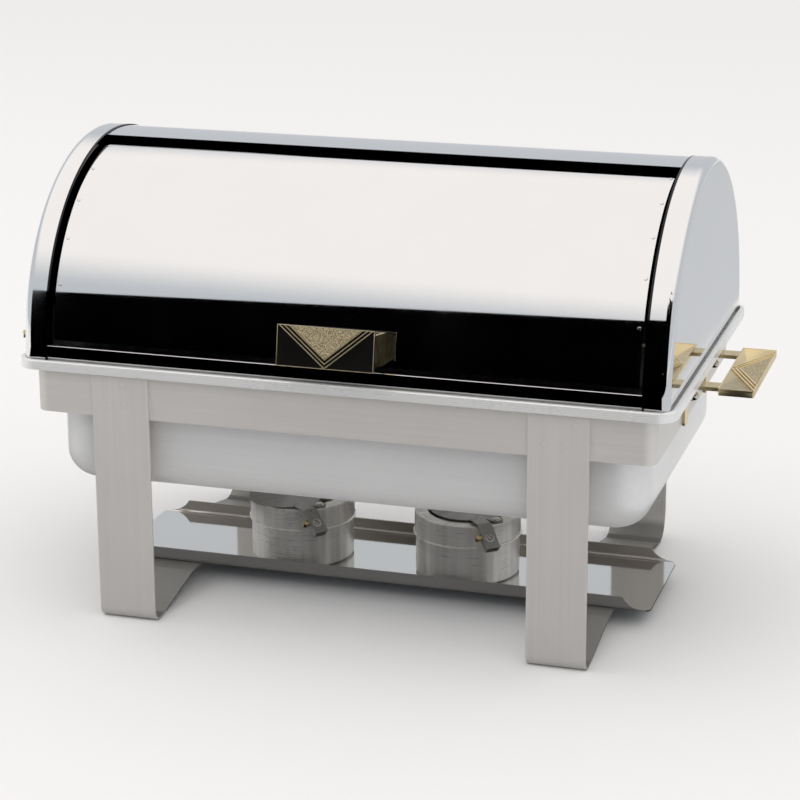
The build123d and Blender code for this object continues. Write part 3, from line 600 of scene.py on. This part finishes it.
class Piece:
    """One new piece, from its primitive to its place on a body."""

    def __init__(self, name: str) -> None:
        """Name the piece. A start method then adds its primitive."""
        self.name = name
        self.obj: bpy.types.Object = None

    def _begin(self) -> "Piece":
        """Take up the primitive that was just added."""
        self.obj = bpy.context.object
        self.obj.name = self.name
        self.obj.data.name = self.name
        bpy.ops.object.transform_apply(location=True, rotation=True, scale=True)
        return self

    def block(self, centre: Iterable[float], size: Iterable[float]) -> "Piece":
        """Start from a block of a size about a centre."""
        put_down()
        bpy.ops.mesh.primitive_cube_add(size=1, location=tuple(centre))
        bpy.context.object.scale = tuple(size)
        return self._begin()

    def disc(self, radius: float, height: float, sides: int = 48) -> "Piece":
        """Start from an upright cylinder that stands on 0."""
        put_down()
        bpy.ops.mesh.primitive_cylinder_add(
            vertices=sides, radius=radius, depth=height, location=(0, 0, height / 2)
        )
        return self._begin()

    def ring(self, radius: float, thick: float, sides: int = 48) -> "Piece":
        """Start from a ring that lies flat about 0."""
        put_down()
        bpy.ops.mesh.primitive_torus_add(
            major_radius=radius, minor_radius=thick, major_segments=sides, minor_segments=12
        )
        return self._begin()

    def pick(self, test: Test, kind: str = "FACE") -> "Piece":
        """Go into edit mode with some faces or edges selected.

        Args:
            test: takes a place and a normal (an edge's normal is its direction).
            kind: FACE or EDGE.

        Returns:
            The piece itself.
        """
        put_down()
        bpy.context.view_layer.objects.active = self.obj
        self.obj.select_set(True)
        bpy.ops.object.mode_set(mode="EDIT")
        bpy.ops.mesh.select_mode(type=kind)
        bpy.ops.mesh.select_all(action="DESELECT")
        bpy.ops.object.mode_set(mode="OBJECT")
        mesh = self.obj.data
        if kind == "FACE":
            for face in mesh.polygons:
                face.select = test(face.center, face.normal)
        else:
            for edge in mesh.edges:
                a, b = (mesh.vertices[number].co for number in edge.vertices)
                edge.select = test((a + b) / 2, (b - a).normalized())
        bpy.ops.object.mode_set(mode="EDIT")
        return self

    def all(self) -> "Piece":
        """Go into edit mode with everything selected."""
        return self.pick(lambda place, normal: True)

    def inset(self, width: float, depth: float = 0.0) -> "Piece":
        """Inset the picked faces, and sink or raise their middle."""
        bpy.ops.mesh.inset(thickness=width, depth=depth)
        return self

    def bevel(self, width: float, segments: int = 3) -> "Piece":
        """Round the picked edges."""
        bpy.ops.mesh.bevel(offset=width, segments=segments, affect="EDGES", clamp_overlap=True)
        return self

    def cut(self, point: Iterable[float], normal: Iterable[float]) -> "Piece":
        """Cut off what lies beyond a plane and close the cut."""
        self.all()
        bpy.ops.mesh.bisect(
            plane_co=tuple(point), plane_no=tuple(normal), use_fill=True, clear_outer=True
        )
        return self

    def soften(self, width: float, segments: int = 2, angle: float = 30.0) -> "Piece":
        """Round every sharp edge with an applied Bevel."""
        put_down()
        bpy.context.view_layer.objects.active = self.obj
        self.obj.select_set(True)
        rounding = self.obj.modifiers.new("edges", "BEVEL")
        rounding.width = width
        rounding.segments = segments
        rounding.limit_method = "ANGLE"
        rounding.angle_limit = radians(angle)
        bpy.ops.object.modifier_apply(modifier="edges")
        return self

    def move(self, matrix: Matrix) -> "Piece":
        """Put the piece at a place and apply it to the mesh."""
        put_down()
        bpy.context.view_layer.objects.active = self.obj
        self.obj.select_set(True)
        self.obj.matrix_world = matrix
        bpy.ops.object.transform_apply(location=True, rotation=True, scale=True)
        return self

    def copy(self, name: str, matrix: Matrix) -> "Piece":
        """A copy with its own mesh, moved by a matrix."""
        twin = Piece(name)
        twin.obj = self.obj.copy()
        twin.obj.data = self.obj.data.copy()
        twin.obj.name = twin.obj.data.name = name
        bpy.context.scene.collection.objects.link(twin.obj)
        return twin.move(matrix)

    def join(self, others: list["Piece"]) -> "Piece":
        """Make one piece of several."""
        put_down()
        for other in others:
            other.obj.select_set(True)
        self.obj.select_set(True)
        bpy.context.view_layer.objects.active = self.obj
        bpy.ops.object.join()
        return self

    def finish(self, body: str, finish: Finish, slot: str) -> bpy.types.Object:
        """Shade, dress and hand over the piece.

        Args:
            body: the body that it rides on.
            finish: its surface.
            slot: not used.

        Returns:
            The finished object.
        """
        self.all()
        bpy.ops.mesh.normals_make_consistent(inside=False)
        put_down()
        bpy.context.view_layer.objects.active = self.obj
        self.obj.select_set(True)
        bpy.ops.object.shade_smooth_by_angle(angle=radians(35))
        put_down()
        self.obj.data.materials.clear()
        self.obj.data.materials.append(finish.material())
        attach(self.obj, body)
        LOG.info("%s on %s", self.name, body)
        return self.obj


def dress(finish: Finish, *nodes: str) -> None:
    """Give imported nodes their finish.

    Args:
        finish: the surface.
        nodes: names of the nodes.
    """
    for name in nodes:
        materials = frame["nodes"][name].data.materials
        materials.clear()
        materials.append(finish.material())
        LOG.info("%s dressed in %s", name, finish.name)


def middle(node: str) -> Vector:
    """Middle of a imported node's box."""
    low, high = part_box(node)
    return (low + high) / 2


# ---- chevron plates: the grip and the two carrying handles -----------------------------
@dataclass
class ChevronPlate:
    """Brass plate with a sunk field, two raised chevron lines and a sanded triangle.

    In its own frame the plate lies flat: X along its length, Y across, Z out of its face.
    The chevron's point is at the middle of the -Y edge and its arms end at the +Y corners.
    """

    name: str
    length: float
    width: float
    gauge: float
    border: float = 0.9 * MM
    sink: float = 0.5 * MM
    line: float = 1.3 * MM
    pitch: float = 0.145
    field_steel: Finish = Brass("polished_brass")

    def _base(self) -> Piece:
        """The plate itself, with its field sunk inside a thin border."""
        slim = 0.1 * MM
        size = (self.length - slim, self.width - slim, self.gauge - slim)
        base = Piece(self.name).block((0, 0, -(self.gauge + slim) / 2), size)
        base.pick(lambda place, way: abs(way.z) > 0.9, "EDGE").bevel(1.2 * MM, 3)
        base.pick(lambda place, way: way.z > 0.9).inset(0.45 * MM, 0.0)
        base.pick(lambda place, way: way.z > 0.9 and place.length < self.width / 4)
        base.inset(self.border, -self.sink)
        put_down()
        return base.soften(0.16 * MM, 2, 40)

    def _corner(self, share: float) -> tuple[Vector, Vector]:
        """Point and arm end of a chevron that starts a share of the width in."""
        point = Vector((0, -self.width / 2 + share * self.width, 0))
        end = Vector((self.length / 2 * (1 - share) * 0.985, self.width / 2, 0))
        return point, end

    def _arm(self, share: float, hand: int) -> Piece:
        """One raised line from the chevron's point to the far edge."""
        point, end = self._corner(share)
        reach = end - point
        slope = reach.to_2d().angle_signed(Vector((1, 0)))
        run = Piece(f"{self.name}_line").block((0, 0, 0), (reach.length * 1.15, self.line, self.sink))
        run.pick(lambda place, way: way.z > 0.9).inset(self.line * 0.28, 0.0)
        run.pick(lambda place, way: way.z > 0.9 and abs(place.y) < self.line * 0.3)
        bpy.ops.transform.translate(value=(0, 0, self.sink * 0.5))
        put_down()
        lift = Matrix.Translation((point + end) / 2 + Vector((0, 0, -self.sink * 0.55)))
        run.move(lift @ Matrix.Rotation(slope, 4, "Z"))
        inner = self.border * 0.9
        run.cut((0, 0, 0), (-1, 0, 0))
        run.cut((0, self.width / 2 - inner, 0), (0, 1, 0))
        run.cut((0, -self.width / 2 + inner, 0), (0, -1, 0))
        run.cut((self.length / 2 - inner, 0, 0), (1, 0, 0))
        put_down()
        if hand < 0:
            run.move(Matrix.Scale(-1, 4, (1, 0, 0)))
        return run

    def _outline(self) -> list[Piece]:
        """Thin bright edging along the four sides of the face."""
        wide, deep = 0.55 * MM, 0.5 * MM
        bars = []
        for hand in (-1, 1):
            across = (0, hand * (self.width - wide) / 2, 0.05 * MM - deep / 2)
            along = (hand * (self.length - wide) / 2, 0, 0.05 * MM - deep / 2)
            bars.append(Piece(f"{self.name}_edge").block(across, (self.length, wide, deep)))
            bars.append(Piece(f"{self.name}_edge").block(along, (wide, self.width, deep)))
        for bar in bars:
            bar.soften(0.12 * MM, 2)
        return bars

    def _triangle(self, share: float) -> Piece:
        """The sanded triangle inside the chevron lines."""
        point, end = self._corner(share)
        inner = self.width / 2 - self.border * 1.3
        size = (self.length, self.width, self.sink * 0.9)
        field_piece = Piece(f"{self.name}_sanded").block((0, 0, -self.sink * 0.55), size)
        field_piece.cut((0, inner, 0), (0, 1, 0))
        for hand in (-1, 1):
            out = Vector((hand * (end.y - point.y), -end.x, 0))
            field_piece.cut(point, out)
        put_down()
        field_piece.pick(lambda place, way: way.z > 0.9)
        bpy.ops.mesh.subdivide(number_cuts=2)
        put_down()
        return field_piece.soften(0.12 * MM, 1, 50)

    def build(self, place: Matrix, body: str, node: str) -> None:
        """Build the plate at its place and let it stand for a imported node.

        Args:
            place: the plate's frame in the object's frame.
            body: the body that it rides on.
            node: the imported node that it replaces.
        """
        base = self._base()
        shares = (0.02, self.pitch, 2 * self.pitch - 0.02)
        lines = [self._arm(share, hand) for share in shares for hand in (-1, 1)]
        first = lines[0].join(lines[1:] + self._outline())
        first.obj.name = f"{self.name}_lines"
        first.name = first.obj.name
        sanded = self._triangle(2 * self.pitch)
        for piece in (base, first, sanded):
            piece.move(place)
        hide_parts(node)
        base.finish(body, self.field_steel, "brass")
        bright = Brass("bright_brass", light=(1.0, 0.88, 0.62), dark=(0.90, 0.74, 0.44), roughness=0.45)
        first.finish(body, bright, "brass")
        sanded.finish(body, SandedBrass("sanded_brass"), "brass")


# ---- sub-assemblies --------------------------------------------------------------------
@dataclass
class Stand:
    """Collar band, two leg straps and the burner shelf."""

    weld_radius: float = 3.4 * MM
    weld_thick: float = 0.4 * MM
    weld_places: dict[Side, tuple[tuple[float, float], ...]] = field(
        default_factory=lambda: {
            Side.LEFT: ((2.8, -7.9), (-10.9, -28.4), (4.1, -26.0)),
            Side.RIGHT: ((14.9, -8.9), (-12.0, -27.0), (3.0, -29.0)),
        }
    )

    def build(self) -> None:
        """Dress the stand and add its spot weld marks."""
        dress(SatinSteel("satin_collar", Way.LENGTH), "collar_band")
        for side in Side:
            node = f"leg_strap_{side.word}"
            low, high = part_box(node)
            name = f"satin_strap_{side.word}"
            # the strap gets painted shade between its front and rear faces, and painted highlights along its
            # side edges
            strap = SatinSteel(name, Way.HEIGHT, edges=(low.x, high.x), inside=(low.y, high.y))
            dress(strap, node)
            self._welds(side, low, high)
        low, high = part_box("burner_shelf")
        # the shelf's flanges get painted shade
        shelf = ShelfSteel("polished_shelf", front=low.y, rear=high.y, deck=low.z + 1.2 * MM)
        dress(shelf, "burner_shelf")

    def _welds(self, side: Side, low: Vector, high: Vector) -> None:
        """Faint rings left by the spot welder on the front and rear of a leg."""
        mark = Piece("weld_mark").ring(self.weld_radius, self.weld_thick, 32)
        mark.all()
        bpy.ops.transform.resize(value=(1, 1, 0.7))
        put_down()
        rings = []
        for face, turn in ((low.y, 90), (high.y, -90)):
            for number, (across, down) in enumerate(self.weld_places[side]):
                where = Vector(((low.x + high.x) / 2 + across * MM, face, high.z + down * MM))
                where.y += 0.12 * MM if face == low.y else -0.12 * MM
                place = Matrix.Translation(where) @ Matrix.Rotation(radians(turn), 4, "X")
                rings.append(mark.copy(f"weld_{side.word}_{len(rings)}", place))
        bpy.data.objects.remove(mark.obj)
        marks = rings[0].join(rings[1:])
        marks.name = marks.obj.name = f"weld_marks_{side.word}"
        marks.finish("stand", SatinSteel("weld_marks", Way.HEIGHT, dark=(0.36, 0.34, 0.32)), "satin_steel")


@dataclass
class CarryingHandle:
    """Brass handle at one end: chevron plate, two brackets, bolts and acorn nuts."""

    side: Side

    def build(self) -> None:
        """Dress the bought-in pieces and build the chevron plate."""
        word = self.side.word
        brackets = [f"handle_bracket_{word}_{end}" for end in ("front", "rear")]
        dress(Brass("polished_brass"), *brackets)
        dress(PlatedFastener("plated_fastener"), f"handle_bolts_{word}", f"acorn_nuts_{word}")
        node = f"handle_plate_{word}"
        low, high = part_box(node)
        centre = (low + high) / 2
        centre.z = high.z
        across = Matrix.Rotation(-self.side.value * pi / 2, 4, "Z")
        plate = ChevronPlate(f"chevron_{node}", high.y - low.y, high.x - low.x, high.z - low.z)
        plate.build(Matrix.Translation(centre) @ across, "stand", node)


@dataclass
class WaterPan:
    """Water pan and the polished rim frame on it."""

    def build(self) -> None:
        """Dress the pan and its frame."""
        dress(SatinSteel("satin_pan", Way.LENGTH, (0.92, 0.915, 0.91), (0.76, 0.755, 0.75), 0.4), "water_pan")
        rim = SatinSteel("satin_rim", Way.LENGTH, (0.95, 0.95, 0.94), (0.82, 0.82, 0.81), 0.3)
        dress(rim, "rim_frame")


@dataclass
class FoodPan:
    """Gastronorm food pan."""

    def build(self) -> None:
        """Dress the pan."""
        dress(SatinSteel("drawn_pan", Way.LENGTH, (0.72, 0.71, 0.70), (0.55, 0.54, 0.53), 0.3), "food_pan")


@dataclass
class Dome:
    """Fixed rear shell, front rail and two D-shaped ends."""

    step_depth: float = 2.2 * MM

    def _step(self) -> tuple[float, float]:
        """How far out the inner step of each end cap lies, from and to."""
        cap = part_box("dome_end_cap_right")[0].x
        return cap - 0.4 * MM, cap + self.step_depth

    def build(self) -> None:
        """Dress the dome."""
        dress(MirrorSteel("polished_dome"), "dome_rear_shell", "dome_front_rail")
        for side in Side:
            dress(CapSteel("polished_cap", step=self._step()), f"dome_end_cap_{side.word}")
            dress(PlatedFastener("plated_fastener"), f"cover_pivot_pin_{side.word}")


@dataclass
class RollCover:
    """Rolling cover with its side plates, spot welds and brass grip."""

    weld_angles: tuple[float, ...] = (22.0, 36.8, 50.4, 64.2, 78.0)
    weld_radius: float = 1.7 * MM
    weld_height: float = 0.55 * MM
    weld_inset: float = 3.4 * MM
    grip_angle: float = 10.4

    def build(self) -> None:
        """Dress the cover, add its spot welds and build the grip."""
        dress(MirrorSteel("polished_cover"), "rolling_cover")
        dress(MirrorSteel("polished_sector", Way.HEIGHT), *(f"cover_side_plate_{s.word}" for s in Side))
        dress(Brass("polished_brass"), "cover_grip_bracket")
        dress(PlatedFastener("plated_fastener"), "cover_grip_screws")
        self._welds()
        self._grip()

    def _axis(self) -> Vector:
        """Middle of the line that the cover turns about."""
        hinge = next(joint for joint in frame["joints"] if joint["name"] == "cover_roll")
        return Vector(hinge["pos_m"])

    def _welds(self) -> None:
        """Small domed spot welds along both ends of the cover."""
        axis = self._axis()
        low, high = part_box("rolling_cover")
        radius = high.z - axis.z
        bead = Piece("spot_weld").disc(self.weld_radius, self.weld_height, 20)
        bead.pick(lambda place, way: way.z > 0.9).inset(self.weld_radius * 0.35, 0)
        put_down()
        bead.soften(self.weld_height * 0.8, 3, 60)
        copies = []
        for x in (low.x + self.weld_inset, high.x - self.weld_inset):
            for angle in self.weld_angles:
                turn = Matrix.Rotation(radians(90 - angle), 4, "X")
                place = Matrix.Translation((x, axis.y, axis.z)) @ turn
                lift = Matrix.Translation((0, 0, radius - 0.1 * MM))
                copies.append(bead.copy(f"cover_weld_{len(copies)}", place @ lift))
        bpy.data.objects.remove(bead.obj)
        welds = copies[0].join(copies[1:])
        welds.name = welds.obj.name = "cover_spot_welds"
        welds.finish("roll_cover", MirrorSteel("weld_beads", roughness=0.12), "mirror_steel")

    def _grip(self) -> None:
        """The chevron plate in front of the cover."""
        nodes = frame["nodes"]["cover_grip_plate"].data.vertices
        angle = radians(self.grip_angle)
        out = Vector((0, -cos(angle), sin(angle)))
        up = Vector((0, sin(angle), cos(angle)))
        along = Vector((1, 0, 0))
        heights = [vertex.co.dot(up) for vertex in nodes]
        depths = [vertex.co.dot(out) for vertex in nodes]
        low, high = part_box("cover_grip_plate")
        centre = out * max(depths) + up * (max(heights) + min(heights)) / 2
        turn = Matrix((along, up, out)).transposed().to_4x4()
        gauge = max(depths) - min(depths)
        dark = DarkBrass("dark_brass")
        plate = ChevronPlate(
            "chevron_grip", high.x - low.x, max(heights) - min(heights), gauge,
            border=0.35 * MM, line=1.0 * MM, pitch=0.125, field_steel=dark,
        )
        plate.build(Matrix.Translation(centre) @ turn, "roll_cover", "cover_grip_plate")


@dataclass
class FuelHolder:
    """Spun fuel holder with its tin, hinged lid and strap lever."""

    side: Side
    screw: float = 3.4 * MM
    screw_height: float = 1.6 * MM
    screw_place: float = 2.0 * MM
    slot_width: float = 0.7 * MM
    slot_turn: float = 35.0
    washer_height: float = 0.5 * MM
    lug_radius: float = 3.1 * MM
    lug_height: float = 5.0 * MM
    lug_place: tuple[float, float, float] = (-1.0 * MM, -10.0 * MM, -5.5 * MM)

    def build(self) -> None:
        """Dress the holder and add its small fittings."""
        word = self.side.word
        centre = middle(f"fuel_holder_cup_{word}")
        spun = SpunSteel(f"spun_steel_{word}", (centre.x, centre.y))
        dress(spun, f"fuel_holder_cup_{word}", f"fuel_holder_sleeve_{word}")
        lid = middle(f"burner_lid_{word}")
        disc = SpunSteel(f"spun_lid_{word}", (lid.x, lid.y), (0.42, 0.41, 0.39), (0.26, 0.25, 0.24), 0.34)
        dress(disc, f"burner_lid_{word}")
        strap = SatinSteel("satin_lever", Way.DEPTH, (0.34, 0.33, 0.315), (0.22, 0.21, 0.20), 0.3, 0.6)
        dress(strap, f"burner_lever_{word}")
        dress(PlatedFastener("plated_fastener"), f"burner_rivet_{word}")
        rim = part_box(f"fuel_can_{word}")[1].z
        dress(LacqueredTin("lacquered_tin", rim), f"fuel_can_{word}")
        self._fittings()

    def _lever_frame(self) -> Matrix:
        """Frame on the lever's slope: X down the slope, Z out of its face."""
        word = self.side.word
        mesh = frame["nodes"][f"burner_lever_{word}"].data
        sloping = [face for face in mesh.polygons if 0.5 < face.normal.z < 0.9 and face.area > 4 * MM * MM]
        out = max(sloping, key=lambda face: face.area).normal.copy()
        sloping = [face for face in sloping if face.normal.dot(out) > 0.999]
        face = max(sloping, key=lambda flat: flat.center.dot(out))
        level = face.center.dot(out)
        down = (Vector((0, 0, -1)) + out * out.z).normalized()
        across = out.cross(down)
        points = [
            mesh.vertices[number].co
            for flat in sloping
            if abs(flat.center.dot(out) - level) < 0.05 * MM
            for number in flat.vertices
        ]
        middles = []
        for axis in (down, across):
            spans = [point.dot(axis) for point in points]
            middles.append((min(spans) + max(spans)) / 2)
        centre = out * level + down * middles[0] + across * middles[1]
        turn = Matrix((down, across, out)).transposed().to_4x4()
        return Matrix.Translation(centre) @ turn

    def _slot(self, head: Piece) -> None:
        """Cut the driver's slot across a screw's head."""
        top = self.screw_height + 0.6 * MM
        slot = Piece("slot").block((0, 0, top), (self.screw * 3, self.slot_width, 1.2 * MM))
        put_down()
        bpy.context.view_layer.objects.active = head.obj
        head.obj.select_set(True)
        saw = head.obj.modifiers.new("slot", "BOOLEAN")
        saw.operation = "DIFFERENCE"
        saw.object = slot.obj
        bpy.ops.object.modifier_apply(modifier="slot")
        bpy.data.objects.remove(slot.obj)

    def _fittings(self) -> None:
        """Screw on the lever's slope, with its washer and the lug beside the lever."""
        word = self.side.word
        place = self._lever_frame()
        washer = Piece(f"lever_washer_{word}").disc(self.screw * 1.25, self.washer_height, 32)
        washer.soften(0.18 * MM, 2)
        head = Piece(f"lever_screw_{word}").disc(self.screw, self.screw_height, 32)
        head.pick(lambda spot, way: way.z > 0.9).inset(self.screw * 0.3, 0.5 * MM)
        put_down()
        head.soften(0.35 * MM, 3)
        self._slot(head)
        lug = Piece(f"lever_lug_{word}").disc(self.lug_radius, self.lug_height, 28)
        lug.pick(lambda spot, way: way.z > 0.9).inset(0.9 * MM, -1.4 * MM)
        put_down()
        lug.soften(0.3 * MM, 2)
        turn = Matrix.Rotation(radians(self.slot_turn), 4, "Z")
        spot = Matrix.Translation((self.screw_place, 0, 0)) @ turn
        head.move(place @ spot @ Matrix.Translation((0, 0, 0.2 * MM)))
        washer.move(place @ spot)
        lug.move(place @ Matrix.Translation(self.lug_place))
        plated = PlatedFastener("lever_screw", (0.62, 0.60, 0.57), (0.34, 0.32, 0.30))
        head.finish(f"lid_{word}", plated, "holder_steel")
        washer.finish(f"lid_{word}", SatinSteel("lever_washer", Way.LENGTH, roughness=0.3), "holder_steel")
        lug.finish(f"lid_{word}", Brass("lug_brass"), "brass")


# ---- stage -----------------------------------------------------------------------------
@dataclass
class Studio:
    """Pale floor, soft overhead light, dark cards for the reflections and the camera."""

    azimuth: float = 17.8077
    elevation: float = 16.6345
    roll: float = -0.5457
    eye: Colour = (0.6826, -2.2003, 0.9148)
    lens: float = 113.5688
    shift: tuple[float, float] = (0.0426, -0.05538)
    floor_size: float = 30.0
    card_y: float = -1.5
    card_x: tuple[float, float, float] = (-0.97, 0.45, 4.0)
    low_sky: Colour = (0.60, 0.625, 0.655)
    high_sky: Colour = (1.06, 1.02, 0.99)
    sky_step: tuple[float, float] = (0.42, 0.72)

    def build(self) -> None:
        """Set up the whole stage."""
        self._sky()
        self._floor()
        self._lights()
        self._cards()
        self._camera()

    def _sky(self) -> None:
        """Plain pale surroundings."""
        world = bpy.data.worlds.new("surroundings")
        bpy.context.scene.world = world
        world.use_nodes = True
        graph = Graph(world.node_tree)
        way = graph.node("ShaderNodeTexCoord").outputs["Generated"]
        rise = Value(graph, graph.node("ShaderNodeSeparateXYZ", {}, {0: way}).outputs[2])
        tone = graph.mix(self.low_sky, self.high_sky, rise.between(*self.sky_step))
        sky = graph.node("ShaderNodeBackground", {}, {"Color": tone, "Strength": 1.0})
        graph.node("ShaderNodeOutputWorld", {}, {"Surface": sky.outputs[0]})

    def _plain(self, name: str, colour: Colour, rough: float, glow: float = 0.0) -> bpy.types.Material:
        """Plain material of a stage piece."""
        material = bpy.data.materials.new(name)
        material.use_nodes = True
        graph = Graph(material.node_tree)
        sockets = {
            "Base Color": (*colour, 1),
            "Roughness": rough,
            "Specular IOR Level": 0.0,
            "Emission Color": (1, 1, 1, 1),
            "Emission Strength": glow,
        }
        surface = graph.node("ShaderNodeBsdfPrincipled", {}, sockets)
        graph.node("ShaderNodeOutputMaterial", {}, {"Surface": surface.outputs[0]})
        return material

    def _sheet(self, name: str, corners: list[Colour], material: bpy.types.Material) -> bpy.types.Object:
        """Flat four-cornered stage piece."""
        mesh = bpy.data.meshes.new(name)
        mesh.from_pydata(corners, [], [(0, 1, 2, 3)])
        sheet = bpy.data.objects.new(name, mesh)
        bpy.context.scene.collection.objects.link(sheet)
        mesh.materials.append(material)
        return sheet

    @staticmethod
    def _flat(left: float, right: float, front: float, rear: float, height: float) -> list[Colour]:
        """Corners of a flat sheet at a height."""
        return [(left, front, height), (right, front, height), (right, rear, height), (left, rear, height)]

    def _floor(self) -> None:
        """Plain pale floor."""
        far = self.floor_size / 2
        pale = self._plain("pale_floor", (0.92, 0.92, 0.92), 0.9)
        self._sheet("floor", self._flat(-far, far, -far, far, 0), pale)

    def _cards(self) -> None:
        """Cards that only gloss sees: black in front, black on the floor under and in front of the dish,
        which under it is painted shade in the reflections, and grey on the floor round it.
        """
        black = self._plain("black_card", (0.0, 0.0, 0.0), 1.0)
        slate = self._plain("slate_card", (0.62, 0.645, 0.67), 1.0)
        near, lift = self.card_y, 0.003
        left, middle_x, right = self.card_x
        cards = {
            "card_front": [(left, near, -0.01), (2.2, near, -0.01), (2.2, near, 1.95), (left, near, 0.865)],
            # card_floor: under the dish its black is painted shade seen in the reflections
            "card_floor": self._flat(left, middle_x, near, 0.2, lift),
            "card_slate": self._flat(middle_x, right, near, 5.0, lift),
        }
        for name, corners in cards.items():
            card = self._sheet(name, corners, slate if name == "card_slate" else black)
            card.visible_camera = False
            card.visible_diffuse = False
            card.visible_shadow = False
            card.visible_transmission = False
            card.visible_volume_scatter = False

    def _lights(self) -> None:
        """Large soft light overhead and a weaker one from the left."""
        plans = (
            ("overhead", (0.0, -0.9, 2.3), (0.0, -0.9, 0.0), (6.0, 6.2), 16.0),
            ("left_fill", (-3.2, -0.6, 1.3), (0.0, 0.0, 0.3), (1.6, 1.6), 10.0),
        )
        for name, place, target, size, power in plans:
            data = bpy.data.lights.new(name, "AREA")
            data.shape = "RECTANGLE"
            data.size, data.size_y = size
            data.energy = power
            light = bpy.data.objects.new(name, data)
            bpy.context.scene.collection.objects.link(light)
            light.location = place
            aim = Vector(target) - Vector(place)
            light.rotation_euler = aim.to_track_quat("-Z", "Y").to_euler()
            light.visible_camera = False
            light.visible_glossy = False

    def _camera(self) -> None:
        """Camera at the dish's front, a little to the right and above."""
        data = bpy.data.cameras.new("camera")
        data.lens = self.lens
        data.sensor_width = 36.0
        data.shift_x, data.shift_y = self.shift
        data.clip_start, data.clip_end = 0.05, 60.0
        camera = bpy.data.objects.new("camera", data)
        bpy.context.scene.collection.objects.link(camera)
        azimuth, elevation, roll = (radians(a) for a in (self.azimuth, self.elevation, self.roll))
        back = Vector((sin(azimuth) * cos(elevation), -cos(azimuth) * cos(elevation), sin(elevation)))
        right = (-back).cross(Vector((0, 0, 1))).normalized()
        up = right.cross(-back)
        turned_right = right * cos(roll) + up * sin(roll)
        turned_up = up * cos(roll) - right * sin(roll)
        camera.matrix_world = Matrix.Translation(self.eye) @ Matrix(
            (turned_right, turned_up, back)
        ).transposed().to_4x4()
        bpy.context.scene.camera = camera


def main() -> None:
    """Build the stage and every sub-assembly."""
    logging.basicConfig(level=logging.INFO, format="%(name)s: %(message)s")
    bpy.context.scene.view_settings.view_transform = "Standard"
    assemblies = [
        Studio(),
        Stand(),
        CarryingHandle(Side.LEFT),
        CarryingHandle(Side.RIGHT),
        WaterPan(),
        FoodPan(),
        Dome(),
        RollCover(),
        FuelHolder(Side.LEFT),
        FuelHolder(Side.RIGHT),
    ]
    for assembly in assemblies:
        assembly.build()
        LOG.info("%s done", type(assembly).__name__)


if __name__ == "__main__":
    main()
